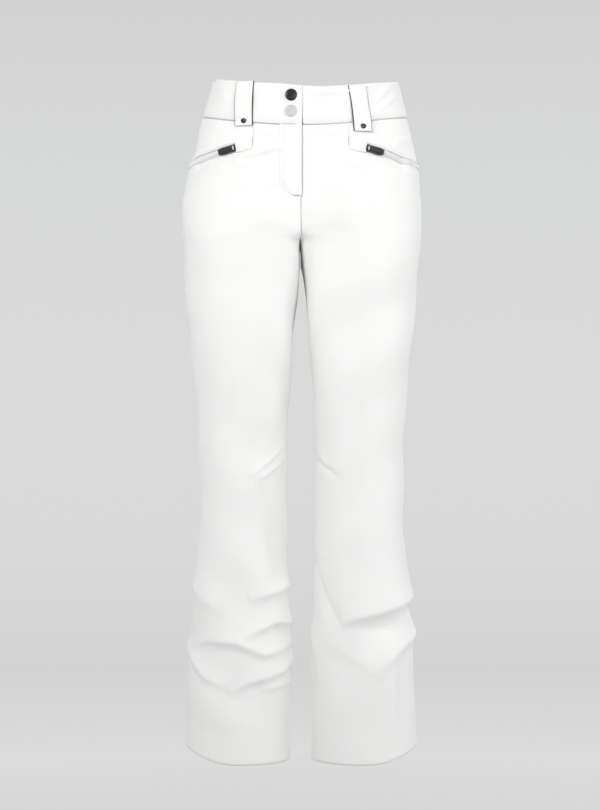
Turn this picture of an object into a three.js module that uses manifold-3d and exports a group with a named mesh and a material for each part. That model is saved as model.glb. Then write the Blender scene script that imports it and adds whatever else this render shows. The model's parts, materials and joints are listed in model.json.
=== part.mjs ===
// Ski pants: two flared legs, hip yokes, a snapped waistband over a zipped fly, and two hand pockets.
// Millimetres, +Z up. The front faces -Y, and the wearer's right side lies toward -X.
// The origin is at the middle of the box round the pants, at the height of the hems.
import * as THREE from 'three';
import { mergeVertices } from 'three/addons/utils/BufferGeometryUtils.js';
import Module from 'manifold-3d';

const wasm = await Module();
wasm.setup();

// ---- driving dimensions ----
const GAP = 0.3; // air between pieces that touch
const CLOTH = 1.6; // softshell cloth with its fleece back
const BAND = 3.0; // waistband, two layers of cloth and a stiffener
const THIN = 0.8; // zip tape, pocket lining and gaiter cloth
const SEAM_SIDE = 978; // waist seam height at the sides
const SEAM_FRONT = 957; // and at the centre of the front
const SEAM_BACK = 990; // and at the centre of the back
const TOP_SIDE = 1033; // top edge of the waistband at the sides
const TOP_FRONT = 1016;
const TOP_BACK = 1046;
const WARP_FROM = 868; // below this height the rows of the cloth are level
const RISE_GAP = 0.5; // half the gap between the two halves at the front and back rise seams

// Each half of the pants is a leg with an oval section. A row gives, at one height, how far the oval
// reaches outward and inward from the middle plane, and its depth to the front and to the back.
// Above the crotch the oval would pass the middle plane, and stops there.
const STATIONS = [
  { z: 0, outer: 176, inner: 16, front: 80, back: 84 },
  { z: 104, outer: 173.6, inner: 16, front: 78, back: 84 },
  { z: 226, outer: 166.6, inner: 19, front: 73, back: 84 },
  { z: 348, outer: 157.6, inner: 21.5, front: 72, back: 77 },
  { z: 455, outer: 156, inner: 22, front: 75, back: 73 },
  { z: 532, outer: 160, inner: 20, front: 82, back: 78 },
  { z: 624, outer: 169, inner: 13, front: 92, back: 88 },
  { z: 685, outer: 173.6, inner: 7.6, front: 97, back: 98 },
  { z: 746, outer: 178.4, inner: 3.6, front: 102, back: 112 },
  { z: 785, outer: 180.4, inner: 0.2, front: 105, back: 121 },
  { z: 800, outer: 180.8, inner: -24, front: 106, back: 125 },
  { z: 838, outer: 180.4, inner: -84, front: 108.5, back: 131 },
  { z: 868, outer: 177, inner: -110, front: 108.5, back: 132 },
  { z: 899, outer: 173, inner: -134, front: 106.5, back: 130 },
  { z: 930, outer: 165, inner: -148, front: 104.3, back: 125 },
  { z: 969, outer: 157.4, inner: -152, front: 102.3, back: 117 },
  { z: 1031, outer: 142.5, inner: -142.5, front: 101, back: 108 },
  { z: 1062, outer: 140, inner: -140, front: 100, back: 107 },
];

const ROW_HEIGHTS = [
  0, 40, 104, 165, 226, 287, 348, 400, 455, 500, 555, 624, 685, 735, 768, 785, 790, 796, 804,
  816, 838, 868, 899, 930, 956, SEAM_SIDE,
];
const PANEL_COLUMNS = 12;

const YOKE_SEAM_X = 72; // the upright yoke seam, from the middle plane
const ZIP_TOP = { x: 76, z: 930.5 }; // inner end of the pocket slot
const ZIP_SLOPE = THREE.MathUtils.degToRad(15);
const SLOT_HALF = 7.4; // half the width of the pocket slot
const SLIDER_X = 102; // where the pocket slider rests, zip closed
const COIL = { width: 4.6, low: -2.4, high: -0.4, from: 86, to: 163 }; // low and high from the cloth's face
const RING_THROUGH = [92, 138, 165]; // where the zip's ring meets the cloth, in x
const TAPE = { width: 11, depth: 5.6 }; // the pocket zip's tapes and how far they lie under the cloth
const POCKET_PULLER = { length: 23, width: 9.5, thickness: 1.6 };
const PULLER_DROOP = THREE.MathUtils.degToRad(9); // the pocket pullers lie back toward the cloth
const GARAGE = { from: 74, to: 94, height: 18, standOff: 0.5, thickness: 1.1 };
const POCKET_BAG = { from: 70, to: 148, bottom: 800, belowSlot: 20, depth: 9, thickness: 3 };
const BACK_YOKE = { middle: 912, side: 896, sideX: 200 }; // the seam under the back yoke
const BEYOND = { x: 260, z: 1100 }; // clear of the side seams and of the waistband

const FLY_HINGE_LOW = { x: -3, z: 858 }; // the line that the front flap folds about
const FLY_HINGE_HIGH = { x: -38, z: 1016 };
const FLY_ZIP_X = -12;
const FLY_ZIP_Y = -91.5; // plane of the fly zip's tapes
const FLY_ZIP_LOW = 872;
const FLY_ZIP_HIGH = 950;
const FLY_SLIDER_DROP = 6; // from the top of the zip, zip closed
const FLY_PULLER = { length: 18, width: 7, thickness: 1.2 };
const FLY_TAPE = { width: 12, spare: 8 }; // spare is how much longer it is than the teeth
const BOTTOM_STOP = { height: 2.6, drop: 1.6 };
const SHIELD = { width: 44, thickness: 1, spare: 10, behind: 4.5 };
const FLAP_CUT = 1; // half the width of the cut that the flap folds in
const FLAP_EDGE_X = 20; // past the flap's free edge

const SNAP_X = -14.4;
const SNAP_HEIGHTS = { upper: 1001, lower: 977 };
const SNAP_CAP = { radius: 9, thickness: 1.8, standOff: 0.7 };
const SNAP_SOCKET = { radius: 5.6, hole: 2.6, thickness: 1.8, behind: 1.4 };
const SNAP_STUD = { radius: 5.2, thickness: 0.8, pinRadius: 1.7, pinHeight: 2 };
const SNAP_BACK = { radius: 5.2, thickness: 0.9, behind: 1 };
const UNDERLAP = { from: -30, to: 26, depth: 7, thickness: 2.4, above: 2, below: 1 };

const LOOP_WIDTH = 25;
const LOOP_CLEARANCE = 7; // room for a belt
const LOOP_CLOTH = 1.6;
const LOOP_FOOT = 9; // length of each sewn foot
const LOOP_RISE = 9; // length of the bend from the foot up to the standing part
const LOOP_SEAT = 1.2; // the feet stand this far off the skin, on the seam's layers
const RIVET = { radius: 4.2, thickness: 1.2 };
const BELT_LOOPS = [
  { name: 'belt_loop_front_right', x: -84, face: -1, low: 955, high: 1020 },
  { name: 'belt_loop_front_left', x: 84, face: -1, low: 955, high: 1020 },
  { name: 'belt_loop_back_right', x: -92, face: 1, low: 974, high: 1038 },
  { name: 'belt_loop_back_left', x: 92, face: 1, low: 974, high: 1038 },
  { name: 'belt_loop_back_centre', x: 0, face: 1, low: 979, high: 1045 },
];

const HEM_FACING = { height: 38, thickness: 2 };
const GAITER = { low: 24, high: 190, depth: 5, reach: 18 }; // reach: how far its foot lies inside the leg
const GAITER_ELASTIC = { height: 22, thickness: 2 };

// ---- the surface of the pants ----
function smoothRow(z) {
  const last = STATIONS.length - 1;
  let i = 0;
  while (i < last - 1 && z > STATIONS[i + 1].z) i += 1;
  const low = STATIONS[i];
  const high = STATIONS[i + 1];
  const span = high.z - low.z;
  const t = (z - low.z) / span;
  const row = {};
  for (const key of ['outer', 'inner', 'front', 'back']) {
    const slope = (k) => (STATIONS[k + 1][key] - STATIONS[k][key]) / (STATIONS[k + 1].z - STATIONS[k].z);
    const knot = (k) => {
      if (k === 0) return slope(0);
      if (k === last) return slope(last - 1);
      const below = slope(k - 1);
      const above = slope(k);
      return below * above > 0 ? (2 * below * above) / (below + above) : 0;
    };
    const a = low[key];
    const b = high[key];
    const ma = knot(i) * span;
    const mb = knot(i + 1) * span;
    const bend = (1 - t) * (a - b + ma) + t * (b - a - mb);
    row[key] = a + (b - a) * t + t * (1 - t) * (bend);
  }
  return row;
}

// A point of one half: side +1 or -1, face -1 front or +1 back, u from 0 at the side seam to 1 at the
// inseam or the rise seam, and depth inward from the outer face.
function shellPoint(side, face, u, z, depth) {
  const row = smoothRow(z);
  const centre = (row.outer + row.inner) / 2;
  const half = (row.outer - row.inner) / 2 - depth;
  const reach = (face < 0 ? row.front : row.back) - depth;
  const start = Math.asin((GAP / 2) / reach);
  const stop = Math.PI - start;
  const atMiddle = Math.acos(THREE.MathUtils.clamp((RISE_GAP - centre) / half, -1, 1));
  const angle = start + (Math.min(stop, atMiddle) - start) * u;
  return new THREE.Vector3(side * (centre + half * Math.cos(angle)), face * reach * Math.sin(angle), z);
}

// The same face found from x, for the pieces round the fly.
function facePoint(x, z, face, depth) {
  const row = smoothRow(z);
  const centre = (row.outer + row.inner) / 2;
  const half = (row.outer - row.inner) / 2 - depth;
  const reach = (face < 0 ? row.front : row.back) - depth;
  const across = THREE.MathUtils.clamp((Math.abs(x) - centre) / half, -1, 1);
  return new THREE.Vector3(x, face * reach * Math.sqrt(1 - across * across), z);
}

const smooth = (t) => t * t * (3 - 2 * t);

function seamHeight(face, u) {
  return SEAM_SIDE + ((face < 0 ? SEAM_FRONT : SEAM_BACK) - SEAM_SIDE) * smooth(u);
}

function topHeight(face, u) {
  return TOP_SIDE + ((face < 0 ? TOP_FRONT : TOP_BACK) - TOP_SIDE) * smooth(u);
}

// ---- closed solids ----
// place(u, v, w) gives a point: u and v run over the sheet, and w is 0 on its outer face, 1 on its inner.
function sheetSolid(columns, rows, place, wrap = false) {
  const across = wrap ? columns : columns + 1;
  const positions = [];
  for (let w = 0; w < 2; w += 1) {
    for (let j = 0; j <= rows; j += 1) {
      for (let i = 0; i < across; i += 1) {
        const point = place(i / columns, j / rows, w);
        positions.push(point.x, point.y, point.z);
      }
    }
  }
  const at = (i, j, w) => w * (rows + 1) * across + j * across + (i % across);
  const index = [];
  const quad = (a, b, c, d) => index.push(a, b, c, a, c, d);
  for (let i = 0; i < columns; i += 1) {
    for (let j = 0; j < rows; j += 1) {
      quad(at(i, j, 0), at(i + 1, j, 0), at(i + 1, j + 1, 0), at(i, j + 1, 0));
      quad(at(i, j, 1), at(i, j + 1, 1), at(i + 1, j + 1, 1), at(i + 1, j, 1));
    }
    quad(at(i, 0, 0), at(i, 0, 1), at(i + 1, 0, 1), at(i + 1, 0, 0));
    quad(at(i, rows, 0), at(i + 1, rows, 0), at(i + 1, rows, 1), at(i, rows, 1));
  }
  if (!wrap) {
    for (let j = 0; j < rows; j += 1) {
      quad(at(0, j, 0), at(0, j + 1, 0), at(0, j + 1, 1), at(0, j, 1));
      quad(at(columns, j, 0), at(columns, j, 1), at(columns, j + 1, 1), at(columns, j + 1, 0));
    }
  }
  const geometry = new THREE.BufferGeometry();
  geometry.setAttribute('position', new THREE.Float32BufferAttribute(positions, 3));
  geometry.setIndex(index);
  return facingOut(geometry);
}

function signedVolume(geometry) {
  const points = geometry.getAttribute('position');
  const index = geometry.getIndex();
  const a = new THREE.Vector3();
  const b = new THREE.Vector3();
  const c = new THREE.Vector3();
  let sum = 0;
  for (let i = 0; i < index.count; i += 3) {
    a.fromBufferAttribute(points, index.getX(i));
    b.fromBufferAttribute(points, index.getX(i + 1));
    c.fromBufferAttribute(points, index.getX(i + 2));
    sum += a.dot(b.cross(c)) / 6;
  }
  return sum;
}

function facingOut(geometry) {
  if (signedVolume(geometry) > 0) return geometry;
  const index = geometry.getIndex();
  for (let i = 0; i < index.count; i += 3) {
    const first = index.getX(i);
    index.setX(i, index.getX(i + 1));
    index.setX(i + 1, first);
  }
  return geometry;
}

function toSolid(geometry) {
  const bare = geometry.clone();
  bare.deleteAttribute('normal');
  bare.deleteAttribute('uv');
  const merged = facingOut(mergeVertices(bare, 1e-4));
  const vertProperties = new Float32Array(merged.getAttribute('position').array);
  const triVerts = new Uint32Array(merged.getIndex().array);
  return new wasm.Manifold(new wasm.Mesh({ numProp: 3, vertProperties, triVerts }));
}

function toGeometry(solid) {
  const mesh = solid.getMesh();
  const geometry = new THREE.BufferGeometry();
  const positions = new Float32Array(mesh.numVert * 3);
  for (let i = 0; i < mesh.numVert; i += 1) {
    for (let k = 0; k < 3; k += 1) positions[i * 3 + k] = mesh.vertProperties[i * mesh.numProp + k];
  }
  geometry.setAttribute('position', new THREE.BufferAttribute(positions, 3));
  geometry.setIndex(new THREE.BufferAttribute(new Uint32Array(mesh.triVerts), 1));
  return geometry;
}

// An upright cutter: an outline in X and Z, pushed through the pants along Y on one face.
function cutter(outline, face) {
  const depth = 200;
  const shape = new THREE.Shape(outline.map(([x, z]) => new THREE.Vector2(x, z)));
  const geometry = new THREE.ExtrudeGeometry(shape, { depth, bevelEnabled: false });
  geometry.rotateX(Math.PI / 2);
  if (face > 0) geometry.translate(0, depth, 0);
  return toSolid(geometry);
}

// ---- colours and finishes ----
const finish = (color, roughness, metalness = 0) => ({ color, roughness, metalness });
const whiteCloth = finish(0xf2f3f5, 0.85);
const whiteLining = finish(0xe6e8eb, 0.9);
const whiteTape = finish(0xeef0f2, 0.7);
const darkPlastic = finish(0x2c2d30, 0.45);
const blackSnap = finish(0x1b1b1d, 0.35);
const paleSnap = finish(0xcdd0d3, 0.35);
const nickel = finish(0xb4b6ba, 0.3, 1);
const blackElastic = finish(0x202022, 0.85);

const pants = new THREE.Group();

function addPart(name, geometry, look, parent = pants) {
  const mesh = new THREE.Mesh(geometry, new THREE.MeshStandardMaterial(look));
  mesh.name = name;
  parent.add(mesh);
  return mesh;
}

const sideName = (side) => (side < 0 ? 'right' : 'left');

// ---- cloth panels ----
function clothHalf(side, face) {
  const rows = ROW_HEIGHTS.length - 1;
  return toSolid(sheetSolid(PANEL_COLUMNS, rows, (u, v, w) => {
    const level = ROW_HEIGHTS[Math.round(v * rows)];
    const stretch = (seamHeight(face, u) - WARP_FROM) / (SEAM_SIDE - WARP_FROM);
    const z = level <= WARP_FROM ? level : WARP_FROM + (level - WARP_FROM) * stretch;
    return shellPoint(side, face, u, z, w * CLOTH);
  }));
}

function bandHalf(side, face) {
  return toSolid(sheetSolid(20, 3, (u, v, w) => {
    const low = seamHeight(face, u) + GAP;
    const z = low + (topHeight(face, u) - low) * v;
    return shellPoint(side, face, u, z, w * BAND);
  }));
}

// The pocket slot and the yoke above it. The slot follows a sloping line down from the yoke seam.
const slotLine = (x) => ZIP_TOP.z - (x - ZIP_TOP.x) * Math.tan(ZIP_SLOPE);
const slotReach = SLOT_HALF / Math.cos(ZIP_SLOPE);

function yokeCutter(side, spare) {
  const seam = YOKE_SEAM_X - spare;
  return cutter([
    [side * seam, slotLine(seam) - spare],
    [side * BEYOND.x, slotLine(BEYOND.x) - spare],
    [side * BEYOND.x, BEYOND.z],
    [side * seam, BEYOND.z],
  ], -1);
}

function slotCutter(side) {
  const start = ZIP_TOP.x;
  const end = BEYOND.x;
  return cutter([
    [side * start, slotLine(start) - slotReach],
    [side * end, slotLine(end) - slotReach],
    [side * end, slotLine(end) + slotReach],
    [side * start, slotLine(start) + slotReach],
  ], -1);
}

const flyHingeX = (z) => {
  const t = (z - FLY_HINGE_LOW.z) / (FLY_HINGE_HIGH.z - FLY_HINGE_LOW.z);
  return FLY_HINGE_LOW.x + (FLY_HINGE_HIGH.x - FLY_HINGE_LOW.x) * t;
};

function flapCutter(shift) {
  const low = FLY_HINGE_LOW.z + shift;
  return cutter([
    [flyHingeX(low) + shift, low],
    [FLAP_EDGE_X, low],
    [FLAP_EDGE_X, BEYOND.z],
    [flyHingeX(BEYOND.z) + shift, BEYOND.z],
  ], -1);
}

const flapInside = flapCutter(FLAP_CUT);
const flapOutside = flapCutter(-FLAP_CUT);

function backYokeCutter(side, shift) {
  const overMiddle = 5; // starts a little past the middle plane
  return cutter([
    [side * -overMiddle, BACK_YOKE.middle + shift],
    [side * BACK_YOKE.sideX, BACK_YOKE.side + shift],
    [side * BACK_YOKE.sideX, BEYOND.z],
    [side * -overMiddle, BEYOND.z],
  ], 1);
}

for (const side of [-1, 1]) {
  const name = sideName(side);
  const front = clothHalf(side, -1);
  const slot = slotCutter(side);
  const yoke = front.intersect(yokeCutter(side, -GAP / 2)).subtract(slot);
  let leg = front.subtract(yokeCutter(side, GAP / 2)).subtract(slot);
  if (side < 0) {
    addPart('fly_flap', toGeometry(front.intersect(flapInside)), whiteCloth);
    leg = leg.subtract(flapOutside);
  }
  addPart(`${name}_front_leg`, toGeometry(leg), whiteCloth);
  addPart(`${name}_front_yoke`, toGeometry(yoke), whiteCloth);

  const back = clothHalf(side, 1);
  const backLeg = back.subtract(backYokeCutter(side, -GAP / 2));
  const backYoke = back.intersect(backYokeCutter(side, GAP / 2));
  addPart(`${name}_back_leg`, toGeometry(backLeg), whiteCloth);
  addPart(`${name}_back_yoke`, toGeometry(backYoke), whiteCloth);
}

// ---- waistband ----
const rightBand = bandHalf(-1, -1);
addPart('waistband_right', toGeometry(rightBand.subtract(flapOutside)), whiteCloth);
addPart('waistband_overlap', toGeometry(rightBand.intersect(flapInside)), whiteCloth);
addPart('waistband_left', toGeometry(bandHalf(1, -1)), whiteCloth);

const backBand = sheetSolid(40, 3, (t, v, w) => {
  const side = t < 0.5 ? -1 : 1;
  const u = 1 - Math.abs(2 * t - 1);
  const low = seamHeight(1, u) + GAP;
  const z = low + (topHeight(1, u) - low) * v;
  const point = shellPoint(side, 1, u, z, w * BAND);
  if (u === 1) point.x = 0;
  return point;
});
addPart('waistband_back', backBand, whiteCloth);

addPart('waistband_underlap', sheetSolid(10, 3, (u, v, w) => {
  const x = UNDERLAP.from + (UNDERLAP.to - UNDERLAP.from) * u;
  const low = SEAM_FRONT + UNDERLAP.above;
  const z = low + (TOP_FRONT - UNDERLAP.below - low) * v;
  return facePoint(x, z, -1, UNDERLAP.depth + w * UNDERLAP.thickness);
}), whiteCloth);

// ---- snaps: a cap and socket on the overlap, a stud and back plate on the underlap ----
function disc(radius, thickness, holeRadius = 0) {
  if (holeRadius === 0) return new THREE.CylinderGeometry(radius, radius, thickness, 28);
  const half = thickness / 2;
  const profile = [
    [holeRadius, -half], [radius, -half], [radius, half], [holeRadius, half], [holeRadius, -half],
  ];
  return new THREE.LatheGeometry(profile.map(([r, y]) => new THREE.Vector2(r, y)), 28);
}

// Turns a round geometry, made along Y, to stand on the front face at x, z, its middle at a depth.
function seatOnFront(geometry, x, z, depth) {
  const near = facePoint(x, z, -1, 0);
  const step = 4;
  const alongX = facePoint(x + step, z, -1, 0).sub(facePoint(x - step, z, -1, 0)).normalize();
  const alongZ = facePoint(x, z + step, -1, 0).sub(facePoint(x, z - step, -1, 0)).normalize();
  const outward = alongX.clone().cross(alongZ).normalize();
  const upright = outward.clone().cross(alongX);
  const turn = new THREE.Matrix4().makeBasis(upright, outward, alongX);
  geometry.applyMatrix4(turn);
  geometry.translate(near.x - outward.x * depth, near.y - outward.y * depth, near.z - outward.z * depth);
  return mergeVertices(bareCopy(geometry), 1e-4);
}

function bareCopy(geometry) {
  const bare = geometry.clone();
  bare.deleteAttribute('normal');
  bare.deleteAttribute('uv');
  return bare;
}

for (const [level, height] of Object.entries(SNAP_HEIGHTS)) {
  const look = level === 'upper' ? blackSnap : paleSnap;
  const onFront = (geometry, depth) => seatOnFront(geometry, SNAP_X, height, depth);
  const cap = disc(SNAP_CAP.radius, SNAP_CAP.thickness);
  addPart(`snap_cap_${level}`, onFront(cap, -(SNAP_CAP.thickness / 2) - SNAP_CAP.standOff), look);
  const socket = disc(SNAP_SOCKET.radius, SNAP_SOCKET.thickness, SNAP_SOCKET.hole);
  addPart(`snap_socket_${level}`, onFront(socket, BAND + SNAP_SOCKET.behind), nickel);
  const pin = disc(SNAP_STUD.pinRadius, SNAP_STUD.pinHeight);
  pin.translate(0, SNAP_STUD.pinHeight / 2 + SNAP_STUD.thickness / 4, 0);
  const stud = toSolid(disc(SNAP_STUD.radius, SNAP_STUD.thickness)).add(toSolid(pin));
  const studDepth = UNDERLAP.depth - GAP - SNAP_STUD.thickness / 2 - 0.2;
  addPart(`snap_stud_${level}`, onFront(toGeometry(stud), studDepth), nickel);
  const back = disc(SNAP_BACK.radius, SNAP_BACK.thickness);
  const backDepth = UNDERLAP.depth + UNDERLAP.thickness + SNAP_BACK.behind;
  addPart(`snap_back_${level}`, onFront(back, backDepth), nickel);
}

// ---- fly zip, behind the flap ----
function block(width, depth, height, x, y, z) {
  const geometry = new THREE.BoxGeometry(width, depth, height);
  geometry.translate(x, y, z);
  return geometry;
}

const TEETH = { width: 5, thickness: 2.2 };
const flyLength = FLY_ZIP_HIGH - FLY_ZIP_LOW;
const flyMiddle = (FLY_ZIP_HIGH + FLY_ZIP_LOW) / 2;
const flyTeeth = block(TEETH.width, TEETH.thickness, flyLength, FLY_ZIP_X, FLY_ZIP_Y, flyMiddle);
addPart('fly_zip_teeth', flyTeeth, whiteTape);
for (const side of [-1, 1]) {
  const x = FLY_ZIP_X + side * (TEETH.width / 2 + GAP + FLY_TAPE.width / 2);
  const tape = block(FLY_TAPE.width, THIN, flyLength + FLY_TAPE.spare, x, FLY_ZIP_Y + THIN, flyMiddle);
  addPart(`fly_zip_tape_${sideName(side)}`, tape, whiteTape);
}
const stopZ = FLY_ZIP_LOW - BOTTOM_STOP.drop;
const bottomStop = block(TEETH.width, BOTTOM_STOP.height, BOTTOM_STOP.height, FLY_ZIP_X, FLY_ZIP_Y, stopZ);
addPart('fly_zip_bottom_stop', bottomStop, nickel);
const shieldAt = [FLY_ZIP_X, FLY_ZIP_Y + SHIELD.behind, flyMiddle + 1];
const shield = block(SHIELD.width, SHIELD.thickness, flyLength + SHIELD.spare, ...shieldAt);
addPart('fly_shield', shield, whiteLining);

// A zip slider: a plate over the teeth with two flanges, two lugs and the bar that the puller hangs on.
// It is made with the zip along X, its open end toward -X, and its outside toward +Y.
const BAR = { radius: 0.9, height: 3.4, sink: 0.4, x: -2.5 };
const SLIDER = { length: 10, plate: 1.2, lug: 1.4, lugLength: 3, eyeWidth: 5, flangeDrop: 1.1 };

function sliderSolid(halfWidth, teethHalfWidth, teethTop) {
  const top = teethTop + GAP;
  let solid = toSolid(block(SLIDER.length, SLIDER.plate, halfWidth * 2, 0, top + SLIDER.plate / 2, 0));
  const flangeWidth = halfWidth - teethHalfWidth - GAP;
  const flangeDepth = SLIDER.flangeDrop + SLIDER.plate;
  const flangeY = top + (SLIDER.plate - SLIDER.flangeDrop) / 2;
  const lugHeight = BAR.height + 1;
  const lugY = top + SLIDER.plate / 2 + lugHeight / 2;
  for (const edge of [-1, 1]) {
    const flangeZ = edge * (halfWidth - flangeWidth / 2);
    const lugZ = edge * (SLIDER.eyeWidth / 2 + SLIDER.lug / 2 + GAP);
    solid = solid.add(toSolid(block(SLIDER.length, flangeDepth, flangeWidth, 0, flangeY, flangeZ)));
    solid = solid.add(toSolid(block(SLIDER.lugLength, lugHeight, SLIDER.lug, BAR.x, lugY, lugZ)));
  }
  const bar = new THREE.CylinderGeometry(BAR.radius, BAR.radius, SLIDER.eyeWidth + 2, 12);
  bar.rotateX(Math.PI / 2);
  bar.translate(BAR.x, top + SLIDER.plate + BAR.height - BAR.sink, 0);
  return solid.add(toSolid(bar));
}

// The height of the puller's bar above the middle of the teeth.
const barHeight = (teethTop) => teethTop + GAP + SLIDER.plate + BAR.height - BAR.sink;

// A flat puller with a round end and an eye round the bar. It is made lying along +X from its eye.
const EYE = { radius: 2.3, clearance: 0.4, neckEnd: 6, shoulder: 9 };

function pullerSolid({ length, width, thickness }) {
  const holeRadius = BAR.radius + EYE.clearance;
  const eyeShape = new THREE.Shape().absarc(0, 0, EYE.radius, 0, Math.PI * 2, false);
  eyeShape.holes.push(new THREE.Path().absarc(0, 0, holeRadius, 0, Math.PI * 2, true));
  const eyeDepth = SLIDER.eyeWidth - 2 * GAP;
  const eyeSettings = { depth: eyeDepth, bevelEnabled: false, curveSegments: 10 };
  const eye = new THREE.ExtrudeGeometry(eyeShape, eyeSettings);
  eye.translate(0, 0, -eyeDepth / 2);
  const neck = eyeDepth / 2;
  const half = width / 2;
  const start = (holeRadius + EYE.radius) / 2;
  const outline = new THREE.Shape();
  outline.moveTo(start, -neck);
  outline.lineTo(EYE.neckEnd, -neck);
  outline.lineTo(EYE.shoulder, -half);
  outline.lineTo(length - half, -half);
  outline.absarc(length - half, 0, half, -Math.PI / 2, Math.PI / 2, false);
  outline.lineTo(EYE.shoulder, half);
  outline.lineTo(EYE.neckEnd, neck);
  outline.lineTo(start, neck);
  const tab = new THREE.ExtrudeGeometry(outline, { depth: thickness, bevelEnabled: false, curveSegments: 8 });
  tab.rotateX(-Math.PI / 2);
  tab.translate(0, -thickness / 2, 0);
  return toSolid(eye).add(toSolid(tab));
}

// Places a zip piece, made along X with its outside toward +Y, by an origin and three directions.
function placeBy(geometry, origin, along, outward) {
  const across = along.clone().cross(outward).normalize();
  const matrix = new THREE.Matrix4().makeBasis(along, outward, across).setPosition(origin);
  return geometry.applyMatrix4(matrix);
}

const down = new THREE.Vector3(0, 0, -1);
const forward = new THREE.Vector3(0, -1, 0);
const flySliderAt = new THREE.Vector3(FLY_ZIP_X, FLY_ZIP_Y, FLY_ZIP_HIGH - FLY_SLIDER_DROP);
const flyTeethTop = TEETH.thickness / 2;
const FLY_SLIDER_HALF = 5;
const flySlider = toGeometry(sliderSolid(FLY_SLIDER_HALF, TEETH.width / 2, flyTeethTop));
addPart('fly_zip_slider', placeBy(flySlider, flySliderAt, down, forward), nickel);
const flyBar = flySliderAt.clone().add(new THREE.Vector3(0, -barHeight(flyTeethTop), -BAR.x));
addPart('fly_zip_puller', placeBy(toGeometry(pullerSolid(FLY_PULLER)), flyBar, down, forward), nickel);

// ---- hand pockets ----
// The slot's line on the cloth is close to a circle in a sloping plane, so the zip is a piece of a ring
// and its slider turns about that ring's axis.
function pocketRing(side) {
  const onCloth = (x) => facePoint(side * x, slotLine(x), -1, 0);
  const [first, middle, last] = RING_THROUGH.map(onCloth);
  const slope = new THREE.Vector3(side * Math.cos(ZIP_SLOPE), 0, -Math.sin(ZIP_SLOPE));
  const flat = (p) => {
    const shift = p.clone().sub(first);
    return new THREE.Vector2(shift.dot(slope), -shift.y);
  };
  const a = flat(middle);
  const b = flat(last);
  const d = 2 * (a.x * b.y - a.y * b.x);
  const cx = (b.y * a.lengthSq() - a.y * b.lengthSq()) / d;
  const cy = (a.x * b.lengthSq() - b.x * a.lengthSq()) / d;
  const radius = Math.hypot(cx, cy);
  const centre = first.clone().addScaledVector(slope, cx).add(new THREE.Vector3(0, -cy, 0));
  const angleOf = (x) => {
    const p = flat(onCloth(x));
    return Math.atan2(p.x - cx, p.y - cy);
  };
  const axis = slope.clone().cross(forward).normalize();
  return { centre, radius, slope, angleOf, axis };
}

function ringPoint(ring, angle, radius, offset) {
  const point = ring.centre.clone().addScaledVector(ring.slope, radius * Math.sin(angle));
  return point.addScaledVector(forward, radius * Math.cos(angle)).addScaledVector(ring.axis, offset);
}

// The radius at which a spoke of the ring comes out through the cloth, found by halving.
function clothRadius(ring, angle, offset) {
  let low = ring.radius - 30;
  let high = ring.radius + 30;
  for (let pass = 0; pass < 24; pass += 1) {
    const radius = (low + high) / 2;
    const point = ringPoint(ring, angle, radius, offset);
    const row = smoothRow(point.z);
    const across = (Math.abs(point.x) - (row.outer + row.inner) / 2) / ((row.outer - row.inner) / 2);
    const along = point.y / (point.y < 0 ? row.front : row.back);
    if (across * across + along * along > 1) high = radius;
    else low = radius;
  }
  return low;
}

// A piece of the ring between two angles and two radii, its width centred on the slot.
function ringPiece(ring, fromAngle, toAngle, inner, outer, width) {
  return sheetSolid(14, 1, (u, v, w) => {
    const angle = fromAngle + (toAngle - fromAngle) * u;
    return ringPoint(ring, angle, w === 0 ? outer : inner, width * (v - 0.5));
  });
}

// A tape beside the coil, a little way under the cloth.
function tapePiece(ring, fromAngle, toAngle, near, far, depth) {
  return sheetSolid(14, 2, (u, v, w) => {
    const angle = fromAngle + (toAngle - fromAngle) * u;
    const offset = near + (far - near) * v;
    return ringPoint(ring, angle, clothRadius(ring, angle, offset) - depth - w * THIN, offset);
  });
}

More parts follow.
